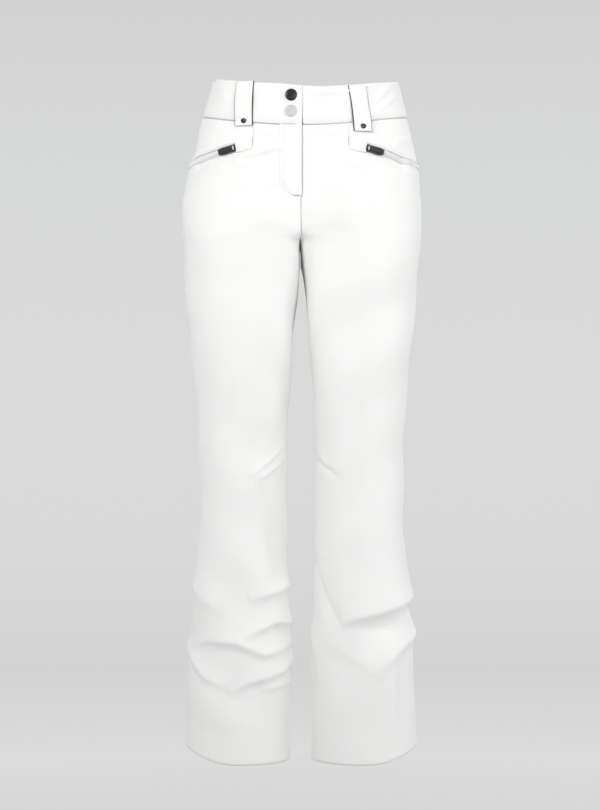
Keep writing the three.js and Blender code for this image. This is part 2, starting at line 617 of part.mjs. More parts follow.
const COIL_SPARE = 0.2; // the slider's plate clears the coil by this much more
const POCKET_SLIDER_HALF = 5.6;
for (const side of [-1, 1]) {
  const name = sideName(side);
  const ring = pocketRing(side);
  const start = ring.angleOf(COIL.from);
  const end = ring.angleOf(COIL.to);
  const { radius } = ring;
  const coil = ringPiece(ring, start, end, radius + COIL.low, radius + COIL.high, COIL.width);
  addPart(`${name}_pocket_zip_coil`, coil, whiteTape);
  for (const edge of [-1, 1]) {
    const near = edge * (COIL.width / 2 + GAP);
    const tape = tapePiece(ring, start, end, near, near + edge * TAPE.width, TAPE.depth);
    const level = edge * ring.axis.z > 0 ? 'upper' : 'lower';
    addPart(`${name}_pocket_zip_tape_${level}`, tape, whiteTape);
  }
  const restAngle = ring.angleOf(SLIDER_X);
  const along = ring.slope.clone().multiplyScalar(Math.cos(restAngle));
  along.addScaledVector(forward, -Math.sin(restAngle));
  const outward = ring.slope.clone().multiplyScalar(Math.sin(restAngle));
  outward.addScaledVector(forward, Math.cos(restAngle));
  const sliderAt = ring.centre.clone().addScaledVector(outward, radius + (COIL.low + COIL.high) / 2);
  const teethTop = (COIL.high - COIL.low) / 2 + COIL_SPARE;
  const slider = toGeometry(sliderSolid(POCKET_SLIDER_HALF, COIL.width / 2, teethTop));
  addPart(`${name}_pocket_slider`, placeBy(slider, sliderAt, along, outward), paleSnap);
  const barAt = sliderAt.clone().addScaledVector(along, BAR.x).addScaledVector(outward, barHeight(teethTop));
  const across = along.clone().cross(outward);
  const lying = along.clone().applyAxisAngle(across, -PULLER_DROOP);
  const facing = outward.clone().applyAxisAngle(across, -PULLER_DROOP);
  const puller = placeBy(toGeometry(pullerSolid(POCKET_PULLER)), barAt, lying, facing);
  addPart(`${name}_pocket_puller`, puller, darkPlastic);

  addPart(`${name}_pocket_garage`, sheetSolid(6, 3, (u, v, w) => {
    const x = GARAGE.from + (GARAGE.to - GARAGE.from) * u;
    const z = slotLine(x) + (v - 0.5) * GARAGE.height;
    return facePoint(side * x, z, -1, -GARAGE.standOff - (1 - w) * GARAGE.thickness);
  }), whiteCloth);

  addPart(`${name}_pocket_bag`, sheetSolid(8, 8, (u, v, w) => {
    const x = POCKET_BAG.from + (POCKET_BAG.to - POCKET_BAG.from) * u;
    const z = POCKET_BAG.bottom + (slotLine(x) - POCKET_BAG.belowSlot - POCKET_BAG.bottom) * v;
    return facePoint(side * x, z, -1, POCKET_BAG.depth + w * POCKET_BAG.thickness);
  }), whiteLining);
}

// ---- belt loops ----
// A loop stands on the band: its top foot near the top edge, its low foot just below the waist seam.
function beltLoop({ name, x, face, low, high }) {
  const bottom = facePoint(x, low, face, 0);
  const top = facePoint(x, high, face, 0);
  const step = 5;
  const alongX = facePoint(x + step, low, face, 0).sub(facePoint(x - step, low, face, 0)).normalize();
  const up = top.clone().sub(bottom).normalize();
  const outward = alongX.clone().cross(up).multiplyScalar(-face).normalize();
  const across = up.clone().cross(outward).normalize();
  const height = top.distanceTo(bottom);
  const near = LOOP_SEAT + LOOP_CLEARANCE;
  const far = near + LOOP_CLOTH;
  const sole = LOOP_SEAT + LOOP_CLOTH;
  const bendLow = LOOP_FOOT + LOOP_RISE / 2;
  const bendHigh = height - bendLow;
  const standLow = LOOP_FOOT + LOOP_RISE;
  const standHigh = height - standLow;
  const outerShift = 1.5; // the outer face bends this much nearer the foot
  const shape = new THREE.Shape();
  shape.moveTo(0, LOOP_SEAT);
  shape.lineTo(LOOP_FOOT, LOOP_SEAT);
  shape.bezierCurveTo(bendLow, LOOP_SEAT, bendLow, near, standLow, near);
  shape.lineTo(standHigh, near);
  shape.bezierCurveTo(bendHigh, near, bendHigh, LOOP_SEAT, height - LOOP_FOOT, LOOP_SEAT);
  shape.lineTo(height, LOOP_SEAT);
  shape.lineTo(height, sole);
  shape.lineTo(height - LOOP_FOOT + 1, sole);
  shape.bezierCurveTo(bendHigh + outerShift, sole, bendHigh + outerShift, far, standHigh, far);
  shape.lineTo(standLow, far);
  shape.bezierCurveTo(bendLow - outerShift, far, bendLow - outerShift, sole, LOOP_FOOT - 1, sole);
  shape.lineTo(0, sole);
  const settings = { depth: LOOP_WIDTH, bevelEnabled: false, curveSegments: 5 };
  const geometry = new THREE.ExtrudeGeometry(shape, settings);
  geometry.translate(0, 0, -LOOP_WIDTH / 2);
  geometry.applyMatrix4(new THREE.Matrix4().makeBasis(up, outward, across).setPosition(bottom));
  addPart(name, geometry, whiteCloth);
  const rivetHeight = sole + GAP + RIVET.thickness / 2;
  const seatAt = bottom.clone().addScaledVector(up, LOOP_FOOT / 2).addScaledVector(outward, rivetHeight);
  const turn = new THREE.Matrix4().makeBasis(up, outward, across).setPosition(seatAt);
  addPart(`${name}_rivet`, disc(RIVET.radius, RIVET.thickness).applyMatrix4(turn), blackSnap);
}

for (const loop of BELT_LOOPS) beltLoop(loop);

// ---- hems and snow gaiters ----
// A ring inside one leg: t runs round the leg, the depth is measured inward from the cloth's face.
function legRing(side, lowZ, highZ, rows, depthAt, thickness) {
  return sheetSolid(PANEL_COLUMNS * 2, rows, (t, v, w) => {
    const z = lowZ + (highZ - lowZ) * v;
    const row = smoothRow(z);
    const depth = depthAt(v) + w * thickness;
    const angle = t * Math.PI * 2;
    const centre = (row.outer + row.inner) / 2;
    const reach = (Math.sin(angle) < 0 ? row.front : row.back) - depth;
    const half = (row.outer - row.inner) / 2 - depth;
    return new THREE.Vector3(side * (centre + half * Math.cos(angle)), reach * Math.sin(angle), z);
  }, true);
}

for (const side of [-1, 1]) {
  const name = sideName(side);
  const facing = legRing(side, 0, HEM_FACING.height, 2, () => CLOTH + 2 * GAP, HEM_FACING.thickness);
  addPart(`${name}_hem_facing`, facing, whiteCloth);
  const gaiterDepth = (v) => GAITER.depth + GAITER.reach * smooth(1 - v);
  addPart(`${name}_gaiter`, legRing(side, GAITER.low, GAITER.high, 5, gaiterDepth, THIN), whiteLining);
  const elasticDepth = () => GAITER.depth + GAITER.reach + THIN + 2 * GAP;
  const elasticTop = GAITER.low + GAITER_ELASTIC.height;
  const elastic = legRing(side, GAITER.low, elasticTop, 1, elasticDepth, GAITER_ELASTIC.thickness);
  addPart(`${name}_gaiter_elastic`, elastic, blackElastic);
}

// Bring the middle of the box over the origin.
pants.updateMatrixWorld(true);
const bounds = new THREE.Box3().setFromObject(pants);
const middle = bounds.getCenter(new THREE.Vector3());
pants.position.set(-middle.x, -middle.y, 0);

export default pants;
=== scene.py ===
import json
import math
import bmesh
import bpy
import numpy as np
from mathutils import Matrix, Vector


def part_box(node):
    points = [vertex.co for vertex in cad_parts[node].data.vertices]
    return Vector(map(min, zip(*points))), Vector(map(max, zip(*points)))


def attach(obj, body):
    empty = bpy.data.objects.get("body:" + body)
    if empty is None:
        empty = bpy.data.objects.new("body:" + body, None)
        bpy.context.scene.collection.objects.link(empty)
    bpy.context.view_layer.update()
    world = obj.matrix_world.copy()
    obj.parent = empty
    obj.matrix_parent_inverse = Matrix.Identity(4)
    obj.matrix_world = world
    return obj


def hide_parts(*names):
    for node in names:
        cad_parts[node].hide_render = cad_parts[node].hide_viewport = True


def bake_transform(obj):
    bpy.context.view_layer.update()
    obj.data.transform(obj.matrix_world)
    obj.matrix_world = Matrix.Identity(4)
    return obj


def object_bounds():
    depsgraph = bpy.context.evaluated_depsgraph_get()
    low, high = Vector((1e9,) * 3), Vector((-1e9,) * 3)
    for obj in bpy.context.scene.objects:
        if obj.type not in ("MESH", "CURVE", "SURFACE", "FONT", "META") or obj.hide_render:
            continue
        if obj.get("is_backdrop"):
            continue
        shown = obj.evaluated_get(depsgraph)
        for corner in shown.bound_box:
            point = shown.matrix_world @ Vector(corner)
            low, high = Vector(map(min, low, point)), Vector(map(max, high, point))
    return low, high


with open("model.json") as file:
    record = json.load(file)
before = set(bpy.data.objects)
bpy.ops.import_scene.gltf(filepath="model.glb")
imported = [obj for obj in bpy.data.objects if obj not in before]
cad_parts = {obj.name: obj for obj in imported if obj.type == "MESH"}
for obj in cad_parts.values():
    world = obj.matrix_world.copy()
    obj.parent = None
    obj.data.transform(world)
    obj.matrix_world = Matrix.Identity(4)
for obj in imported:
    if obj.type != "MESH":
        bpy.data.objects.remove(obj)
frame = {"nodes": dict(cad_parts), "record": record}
cadLow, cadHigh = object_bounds()
mm = 0.001
print("frame loaded")

# The side seams lie in one plane, and the back panels start there.
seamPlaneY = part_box("left_back_leg")[0].y / mm
joints = {joint["name"]: joint for joint in frame["record"]["behaviour"]["joints"]}


# ---------- the skin of the pants, in millimetres ----------
# Each half is a leg of oval section: how far it reaches outward and inward from the middle plane,
# and its depth to the front and to the back, at a few heights.
figure = {
    "height": [0, 104, 226, 348, 455, 532, 624, 685, 746, 785, 800, 838, 868, 899, 930, 969, 1031, 1062],
    "outer": [176, 173.6, 166.6, 157.6, 156, 160, 169, 173.6, 178.4, 180.4, 180.8, 180.4, 177, 173, 165,
              157.4, 142.5, 140],
    "inner": [16, 16, 19, 21.5, 22, 20, 13, 7.6, 3.6, 0.2, -24, -84, -110, -134, -148, -152, -142.5, -140],
    "middle": [96, 94.8, 92.8, 89.5, 89, 90, 91, 90.6, 87, 79, 71, 50, 34, 19.5, 8.5, 2.7, 0, 0],
    "front": [80, 78, 73, 72, 75, 82, 92, 97, 102, 105, 106, 108.5, 108.5, 106.5, 104.3, 102.3, 101, 100],
    "back": [84, 84, 84, 77, 73, 78, 88, 98, 112, 121, 125, 131, 132, 130, 125, 117, 108, 107],
    # the pants hang a little turned: how much further out each side stands
    "rightHang": [0, 0, 0, 0, 0, 0, 0, 0, 0, 0, 0, 0, 0, -1, -3.5, -4.5, -7, -7],
    "leftHang": [0, 0, 0, 0, 0, 0, 0, 0, 1, 1.5, 1.8, 3, 5, 7, 7.5, 7, 7, 7],
}
figureRows = {name: np.array(values, float) for name, values in figure.items()}
waist = {
    "seamSide": 978, "seamFront": 957, "seamBack": 990,
    "topSide": 1033, "topFront": 1016, "topBack": 1041,
    "rightLift": 3.0, "leftDrop": 1.5,  # the right front stands a little higher than the left
}


def smooth(t):
    t = np.clip(t, 0, 1)
    return t * t * (3 - 2 * t)


def monotone(x, xs, ys):
    # a cubic through the rows that never overshoots: each knot's slope is the harmonic mean of its two
    slope = np.diff(ys) / np.diff(xs)
    knot = np.zeros(len(xs))
    below, above = slope[:-1], slope[1:]
    same = below * above > 0
    knot[1:-1][same] = 2 * (below * above)[same] / (below + above)[same]
    knot[0], knot[-1] = slope[0], slope[-1]
    i = np.clip(np.searchsorted(xs, x) - 1, 0, len(xs) - 2)
    span = xs[i + 1] - xs[i]
    t = (x - xs[i]) / span
    a, b, ma, mb = ys[i], ys[i + 1], knot[i] * span, knot[i + 1] * span
    return a + (b - a) * t + t * (1 - t) * ((1 - t) * (a - b + ma) + t * (b - a - mb))


def sectionAt(z):
    # the oval's middle, its reach outward and inward from there, its two depths, and how square it is:
    # the front is squarer at the crotch, where the thighs press together
    names = ("outer", "inner", "middle", "front", "back")
    row = {name: monotone(z, figureRows["height"], figureRows[name]) for name in names}
    middle = row["middle"]
    near = smooth((z - 400) / 385) * smooth((885 - z) / 100)
    return middle, row["outer"] - middle, middle - row["inner"], row["front"], row["back"], near


def hangShift(side, x, z):
    # only the outer quarter of the front and back moves out with the hang, so the pockets keep their curve
    hang = monotone(z, figureRows["height"], figureRows["rightHang" if side < 0 else "leftHang"])
    outer = monotone(z, figureRows["height"], figureRows["outer"])
    return hang * smooth((x / outer - 0.76) / 0.24)


def skinBase(side, angle, z):
    # a superellipse: 0 at the side seam, +90 degrees at the front, 180 at the inseam, below 0 at the back
    middle, outward, inward, front, back, near = sectionAt(z)
    cosine, sine = np.cos(angle), np.sin(angle)
    power = 2 + near * np.where(cosine > 0, 0.2, np.where(sine > 0, 4.0, 1.0))
    x = middle + np.where(cosine > 0, outward, inward) * np.sign(cosine) * np.abs(cosine) ** (2 / power)
    y = -np.sign(sine) * np.where(sine >= 0, front, back) * np.abs(sine) ** (2 / power)
    x = x + hangShift(side, x, z)
    return np.stack([side * x, y + seamPlaneY, z + 0 * x], axis=-1)


def angleOfX(side, x, z, face=1):
    middle, outward, inward, _, _, near = sectionAt(z)
    unhung = np.abs(x)
    for _ in range(8):
        unhung = np.abs(x) - hangShift(side, unhung, z)
    offset = unhung - middle
    power = 2 + near * np.where(offset > 0, 0.2, 4.0 if face > 0 else 1.0)
    ratio = np.clip(offset / np.where(offset > 0, outward, inward), -1, 1)
    return face * np.arccos(np.sign(ratio) * np.abs(ratio) ** (power / 2))


def middleAngle(side, z, face, gap=0.4):
    # where the section meets the middle plane; below the crotch it stops just short of the inseam
    return np.minimum(np.abs(angleOfX(side, gap, z, face)), math.pi - 0.004)


# A fold is a ridge along a line of (turn in degrees, height): it falls away slowly above the line and
# steeply below it. "groove" lines are narrow and go inward, as a sewn dart does.
folds = {
    -1: [
        {"line": [(-12, 276), (18, 263), (50, 243), (78, 229)], "rise": 3.6, "above": 26, "below": 10},
        {"line": [(100, 246), (125, 256), (157, 264), (200, 268)],
         "rise": 6.0, "above": 16, "below": 7},
        {"line": [(95, 190), (112, 202), (133, 213), (165, 210), (205, 202)],
         "rise": 7.5, "above": 15, "below": 7},
        {"line": [(18, 176), (55, 186), (88, 183), (118, 165), (145, 171), (185, 184)],
         "rise": 7.0, "above": 18, "below": 7},
        {"line": [(-22, 190), (0, 177), (23, 160), (50, 132), (84, 112)],
         "rise": 6.5, "above": 17, "below": 7},
        {"line": [(80, 106), (101, 124), (146, 139), (178, 156), (205, 166)],
         "rise": 7.0, "above": 19, "below": 7},
        {"line": [(114, 112), (145, 117), (185, 121)], "rise": 3.5, "above": 9, "below": 5},
        {"line": [(104, 425), (116, 431), (134, 443), (150, 453), (172, 474)],
         "rise": 3.4, "above": 13, "below": 3.4},
        {"line": [(98, 432), (112, 444), (130, 459), (160, 486), (184, 500)],
         "rise": 2.6, "above": 8, "below": 3.4},
        {"line": [(112, 420), (134, 364), (148, 310), (158, 272)],
         "rise": -8.5, "above": 20, "below": 26},
        {"x": [(97, 908), (70, 913), (40, 922), (28, 926)], "rise": 4.6, "above": 10, "below": 4},
        {"x": [(104, 902), (82, 899), (58, 905)], "rise": 2.0, "above": 8, "below": 5},
        {"x": [(62, 944), (46, 948), (33, 953)], "rise": 1.6, "above": 5, "below": 4},
        {"x": [(42, 930), (38, 900), (34, 862)], "rise": 2.8, "above": 9, "below": 6},
        {"x": [(120, 868), (80, 874), (46, 866)], "rise": 1.4, "above": 18, "below": 14},
        {"x": [(60, 842), (34, 812), (12, 786)], "rise": 1.8, "above": 10, "below": 8},
    ],
    1: [
        {"line": [(196, 330), (172, 300), (148, 262), (128, 230), (116, 208)],
         "rise": -6.0, "above": 8, "below": 15},
        {"line": [(118, 214), (84, 224), (45, 237), (13, 249), (-34, 264)],
         "rise": 12.0, "above": 32, "below": 9},
        {"line": [(80, 132), (62, 160), (34, 182), (0, 197), (-30, 212)],
         "rise": 8.5, "above": 19, "below": 10},
        {"line": [(57, 200), (59, 150), (58, 100), (59, 10)], "rise": 8.0, "above": 40, "below": 13},
        {"line": [(98, 200), (60, 206), (20, 224), (-30, 244)], "rise": -5.0, "above": 12, "below": 24},
        {"line": [(188, 212), (164, 190), (151, 162), (150, 112)],
         "rise": 4.5, "above": 14, "below": 7},
        {"line": [(140, 190), (112, 172), (88, 150), (76, 120)], "rise": 2.8, "above": 20, "below": 12},
        {"line": [(192, 462), (160, 454), (132, 442), (118, 430)],
         "rise": -3.8, "above": 3.4, "below": 8},
        {"line": [(160, 476), (147, 464), (131, 442)], "rise": 3.6, "above": 9, "below": 4.5},
        {"line": [(60, 330), (30, 318), (0, 322)], "rise": 2.0, "above": 22, "below": 16},
        {"x": [(168, 948), (148, 938), (126, 918), (112, 904)], "rise": 4.8, "above": 9, "below": 5},
        {"x": [(160, 962), (140, 950), (112, 934)], "rise": 2.6, "above": 7, "below": 5},
        {"x": [(104, 942), (90, 938), (76, 936)], "rise": 1.6, "above": 4, "below": 4},
        {"x": [(104, 896), (80, 898), (52, 908)], "rise": 3.6, "above": 9, "below": 5},
        {"x": [(66, 944), (40, 950), (12, 948)], "rise": 1.6, "above": 6, "below": 4},
        {"x": [(110, 860), (76, 872), (30, 866)], "rise": 1.4, "above": 20, "below": 15},
        {"x": [(60, 842), (34, 812), (12, 786)], "rise": 1.4, "above": 10, "below": 8},
    ],
}
# Folds of the back are alike on the two legs: under the seat, behind the knee and above the hem.
seatAndCalfFolds = [
    {"line": [(-84, 764), (-118, 778), (-150, 788), (-186, 794)], "rise": 5.0, "above": 26, "below": 11},
    {"line": [(-70, 726), (-112, 742), (-150, 752), (-188, 756)], "rise": 3.4, "above": 20, "below": 12},
    {"line": [(-24, 486), (-68, 466), (-110, 460), (-150, 470)], "rise": 3.8, "above": 16, "below": 8},
    {"line": [(-52, 446), (-92, 430), (-136, 438), (-170, 452)], "rise": 3.2, "above": 14, "below": 8},
    {"line": [(-30, 402), (-80, 392), (-122, 402)], "rise": 1.8, "above": 15, "below": 11},
    {"line": [(-34, 262), (-74, 240), (-122, 246), (-160, 262)], "rise": 5.0, "above": 19, "below": 9},
    {"line": [(-22, 206), (-64, 178), (-110, 184), (-158, 206)], "rise": 5.5, "above": 18, "below": 9},
    {"line": [(-36, 150), (-84, 128), (-128, 134), (-168, 154)], "rise": 4.4, "above": 17, "below": 9},
]
for side in (-1, 1):
    folds[side] = folds[side] + seatAndCalfFolds

# The pocket slot runs down from the yoke seam in the sloping plane of its zip's joint.
pocketJoint = joints["right_pocket_zip_slide"]
ringX, ringZ = abs(pocketJoint["pos_m"][0]) / mm, pocketJoint["pos_m"][2] / mm
slotSlope = abs(pocketJoint["axis"][0] / pocketJoint["axis"][2])
slotTilt = math.atan(slotSlope)


def slotHeight(x):
    return ringZ - (np.abs(x) - ringX) * slotSlope


def ringDistance(side, points):
    # millimetres from the axis that the pocket slider turns about
    turnsAbout = joints[f"{'right' if side < 0 else 'left'}_pocket_zip_slide"]
    return np.linalg.norm(np.cross(points - np.array(turnsAbout["pos_m"]) / mm, turnsAbout["axis"]), axis=-1)


ringRadius = {}
for side, sideName in ((-1, "right"), (1, "left")):
    low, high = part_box(f"{sideName}_pocket_slider")
    x, z = abs(low[0] + high[0]) / 2 / mm, (low[2] + high[2]) / 2 / mm
    x, z = np.float64(x), np.float64(z)
    ringRadius[side] = float(ringDistance(side, skinBase(side, angleOfX(side, x, z), z)))


unrolled = 75.0  # millimetres of cloth to a radian, near enough on a leg
waves = np.random.default_rng(7).uniform(0, 1, (2, 9, 4))  # slow waves of the cloth, the same each run


def foldHeight(side, fold, reach, z):
    if "x" in fold:
        points = np.array([[float(angleOfX(side, x, np.float64(h))) * unrolled, h] for x, h in fold["x"]])
    else:
        points = np.array([[math.radians(turn) * unrolled, h] for turn, h in fold["line"]])
    if points[0, 0] > points[-1, 0]:
        points = points[::-1]
    nearest = np.full(reach.shape, 1e9)
    signed = np.zeros(reach.shape)
    along = np.zeros(reach.shape)
    pieces = len(points) - 1
    for k in range(pieces):
        (ax, az), (bx, bz) = points[k], points[k + 1]
        dx, dz = bx - ax, bz - az
        t = np.clip(((reach - ax) * dx + (z - az) * dz) / (dx * dx + dz * dz), 0, 1)
        away = np.hypot(reach - ax - t * dx, z - az - t * dz)
        closer = away < nearest
        above = np.sign(dx * (z - az) - dz * (reach - ax))
        nearest = np.where(closer, away, nearest)
        signed = np.where(closer, above * away, signed)
        along = np.where(closer, (k + t) / pieces, along)
    width = np.where(signed > 0, fold["above"], fold["below"])
    crest = np.where(signed > 0, 1.3, 1.7)
    return fold["rise"] * np.exp(-(nearest / width) ** crest) * np.sin(math.pi * along) ** 0.7


def relief(side, angle, z):
    # folds and slow waves; both fade out in the stiff hem and under the waistband
    reach = angle * unrolled
    height = np.zeros(np.broadcast(angle, z).shape)
    for fold in folds[side]:
        turns = [turn for turn, h in fold.get("line", [(0, 0)])]
        height = height + foldHeight(side, fold, reach, z)
        if max(turns) > 150:
            height = height + foldHeight(side, fold, reach + 2 * math.pi * unrolled, z)
        if min(turns) < -150:
            height = height + foldHeight(side, fold, reach - 2 * math.pi * unrolled, z)
    for a, b, c, d in waves[(side + 1) // 2]:
        turnsRound = np.round(1 + 3 * a)
        height = height + 0.55 * np.cos(turnsRound * angle + z * (0.008 + 0.05 * b) + 6.28 * c) * (0.3 + d)
    # the cloth lies flat along the pocket zip
    base = skinBase(side, angle, z)
    x = np.abs(base[..., 0])
    atZip = np.exp(-((z - slotHeight(x)) / 15) ** 4) * smooth((x - 78) / 10) * (angle > 0)
    height = height * (1 - 0.9 * atZip) * smooth((z - 8) / 70) * (1 - 0.7 * smooth((z - 935) / 20))
    toRing = np.clip(ringRadius[side] - ringDistance(side, base), -7, 7)
    return height + toRing * atZip * smooth((162 - x) / 8)


def skin(side, angle, z, lift=0.0, plain=False):
    angle, z = np.broadcast_arrays(np.asarray(angle, float), np.asarray(z, float))
    stepA, stepZ = 0.004, 1.0
    acrossWay = skinBase(side, angle + stepA, z) - skinBase(side, angle - stepA, z)
    upWay = skinBase(side, angle, z + stepZ) - skinBase(side, angle, z - stepZ)
    normal = -side * np.cross(acrossWay, upWay)
    normal /= np.linalg.norm(normal, axis=-1, keepdims=True)
    point = skinBase(side, angle, z)
    # near the middle plane above the crotch the cloth is lifted straight out, not sideways
    nearMiddle = smooth(np.abs(point[..., 0]) / 22)
    flatten = np.where(z > 800, nearMiddle, 1)
    normal[..., 0] *= flatten
    height = np.asarray(lift, float) + (0 if plain else relief(side, angle, z))
    return (point + normal * height[..., None]) * mm


def skinAtX(x, z, face, lift=0.0, plain=False):
    # the same skin found from x, for pieces that cross the middle
    x, z, lift = np.broadcast_arrays(np.asarray(x, float), np.asarray(z, float), np.asarray(lift, float))
    right = skin(-1, angleOfX(-1, x, z, face), z, lift, plain)
    left = skin(1, angleOfX(1, x, z, face), z, lift, plain)
    point = np.where((x < 0)[..., None], right, left)
    point[..., 0] = np.where(np.abs(x) < 22, x * mm, point[..., 0])
    return point


def seamHeight(angle):
    end = np.where(angle >= 0, waist["seamFront"], waist["seamBack"])
    return waist["seamSide"] + (end - waist["seamSide"]) * smooth(np.abs(angle) / (math.pi / 2))


def topHeight(side, angle):
    end = np.where(angle >= 0, waist["topFront"], waist["topBack"])
    turn = np.abs(angle) / (math.pi / 2)
    level = waist["topSide"] + (end - waist["topSide"]) * smooth(turn)
    frontOnly = smooth(np.sin(angle) * 2) * (1 - smooth((turn - 0.86) / 0.14))
    return level + (waist["rightLift"] if side < 0 else -waist["leftDrop"]) * frontOnly


# ---------- meshes ----------
def metricUv(points):
    # metres along the rows and up the columns, so that a weave keeps its size
    across = np.zeros(points.shape[:2])
    across[:, 1:] = np.cumsum(np.linalg.norm(np.diff(points, axis=1), axis=2), axis=1)
    across -= across[:, -1:] / 2
    upward = np.zeros(points.shape[:2])
    upward[1:] = np.cumsum(np.linalg.norm(np.diff(points, axis=0), axis=2), axis=0)
    return np.stack([across, upward.mean(axis=1, keepdims=True) + 0 * across], axis=-1)


def meshOf(name, points, faces, uv, materials, smoothShade=True):
    mesh = bpy.data.meshes.new(name)
    mesh.vertices.add(len(points))
    mesh.vertices.foreach_set("co", np.asarray(points, np.float32).ravel())
    sides = faces.shape[1]
    mesh.loops.add(faces.size)
    mesh.loops.foreach_set("vertex_index", faces.astype(np.int32).ravel())
    mesh.polygons.add(len(faces))
    mesh.polygons.foreach_set("loop_start", np.arange(len(faces), dtype=np.int32) * sides)
    mesh.update(calc_edges=True)
    if uv is not None:
        layer = mesh.uv_layers.new(name="UVMap")
        layer.data.foreach_set("uv", np.asarray(uv, np.float32)[faces.ravel()].ravel())
    mesh.polygons.foreach_set("use_smooth", np.full(len(faces), smoothShade))
    mesh.validate()
    piece = bpy.data.objects.new(name, mesh)
    bpy.context.scene.collection.objects.link(piece)
    for material in materials:
        mesh.materials.append(material)
    return piece


def gridFaces(rows, columns, closedAcross=False):
    across = columns if closedAcross else columns - 1
    j, i = np.meshgrid(np.arange(rows - 1), np.arange(across), indexing="ij")
    right = (i + 1) % columns
    corners = [j * columns + i, j * columns + right, (j + 1) * columns + right, (j + 1) * columns + i]
    return np.stack(corners, axis=-1)


def facesOut(points, faces, outward):
    # turns the whole grid if its faces point against the outward direction, taken at each face
    a, b, c = (points[faces[:, k]] for k in (0, 1, 3))
    normal = np.cross(b - a, c - a)
    if (normal * outward(points[faces].mean(axis=1))).sum() < 0:
        return faces[:, ::-1]
    return faces


def fromLegAxis(points):
    # outward from the middle of the leg, or of the body above the crotch
    z = points[:, 2] / mm
    centre = monotone(z, figureRows["height"], figureRows["middle"]) * np.sign(points[:, 0]) * mm
    out = np.zeros_like(points)
    out[:, 0] = points[:, 0] - centre
    out[:, 1] = points[:, 1] - seamPlaneY * mm
    return out


def clothPiece(name, points, materials, thickness, keep=None, outward=fromLegAxis, closedAcross=False):
    rows, columns = points.shape[:2]
    faces = gridFaces(rows, columns, closedAcross)
    faces = faces[keep] if keep is not None else faces.reshape(-1, 4)
    flat = points.reshape(-1, 3)
    faces = facesOut(flat, faces.reshape(-1, 4), outward)
    used = np.unique(faces)
    renumber = np.zeros(len(flat), np.int64)
    renumber[used] = np.arange(len(used))
    uv = metricUv(points).reshape(-1, 2)[used]
    piece = meshOf(name, flat[used], renumber[faces], uv, materials)
    if thickness > 0:
        wall = piece.modifiers.new("thickness", "SOLIDIFY")
        wall.thickness = thickness * mm
        wall.offset = -1
        wall.use_quality_normals = True
        wall.material_offset = 1 if len(materials) > 1 else 0
        wall.material_offset_rim = 0
    return piece


def place(piece, body, slot, *nodes):
    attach(piece, body)
    if nodes:
        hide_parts(*nodes)
    return piece


# ---------- materials ----------
def linear(hexColour):
    parts = [int(hexColour[k:k + 2], 16) / 255 for k in (1, 3, 5)]
    return tuple(c / 12.92 if c <= 0.04045 else ((c + 0.055) / 1.055) ** 2.4 for c in parts) + (1.0,)


def addNode(tree, kind, settings=None, links=None):
    item = tree.nodes.new(kind)
    for key, value in (settings or {}).items():
        # lower-case words are the node's own settings; the rest are its sockets, by name or number
        if isinstance(key, str) and key.islower():
            setattr(item, key, value)
        else:
            item.inputs[key].default_value = value
    for key, socket in (links or {}).items():
        tree.links.new(socket, item.inputs[key])
    return item


def startMaterial(name):
    material = bpy.data.materials.new(name)
    material.use_nodes = True
    tree = material.node_tree
    shader = tree.nodes["Principled BSDF"]
    return material, tree, shader


def wovenCloth(name, colour, darker, rough, sheen, thread, bump, twill=True):
    # woven cloth: threads as two crossing waves on the cloth's own UV, soft mottling, a little sheen
    material, tree, shader = startMaterial(name)
    shader.inputs["Sheen Weight"].default_value = sheen
    shader.inputs["Sheen Roughness"].default_value = 0.45
    shader.inputs["IOR"].default_value = 1.45
    coords = addNode(tree, "ShaderNodeTexCoord")
    warp = addNode(tree, "ShaderNodeMapping", {"Scale": (1 / thread, 1 / thread, 1)},
                   {"Vector": coords.outputs["UV"]})
    ribs = addNode(tree, "ShaderNodeTexWave", {"bands_direction": "DIAGONAL" if twill else "X", "Scale": 0.32,
                                               "Distortion": 0.6, "Detail": 1.0}, {"Vector": warp.outputs[0]})
    weft = addNode(tree, "ShaderNodeTexWave", {"bands_direction": "Y", "Scale": 0.5, "Distortion": 0.4},
                   {"Vector": warp.outputs[0]})
    mottle = addNode(tree, "ShaderNodeTexNoise", {"Scale": 26.0, "Detail": 4.0},
                     {"Vector": coords.outputs["Object"]})
    crossing = addNode(tree, "ShaderNodeMix", {"data_type": "FLOAT", 0: 0.35},
                       {2: ribs.outputs["Fac"], 3: weft.outputs["Fac"]})
    shade = addNode(tree, "ShaderNodeMix", {"data_type": "RGBA", 6: linear(colour), 7: linear(darker)})
    amount = addNode(tree, "ShaderNodeMapRange",
                     {"From Min": 0.3, "From Max": 0.8, "To Min": 0.0, "To Max": 0.6},
                     {"Value": mottle.outputs["Fac"]})
    tree.links.new(amount.outputs[0], shade.inputs[0])
    tree.links.new(shade.outputs[2], shader.inputs["Base Color"])
    gloss = addNode(tree, "ShaderNodeMapRange", {"To Min": rough - 0.08, "To Max": rough + 0.08},
                    {"Value": crossing.outputs[0]})
    tree.links.new(gloss.outputs[0], shader.inputs["Roughness"])
    lumps = addNode(tree, "ShaderNodeBump", {"Strength": bump, "Distance": 0.0004},
                    {"Height": crossing.outputs[0]})
    tree.links.new(lumps.outputs[0], shader.inputs["Normal"])
    return material


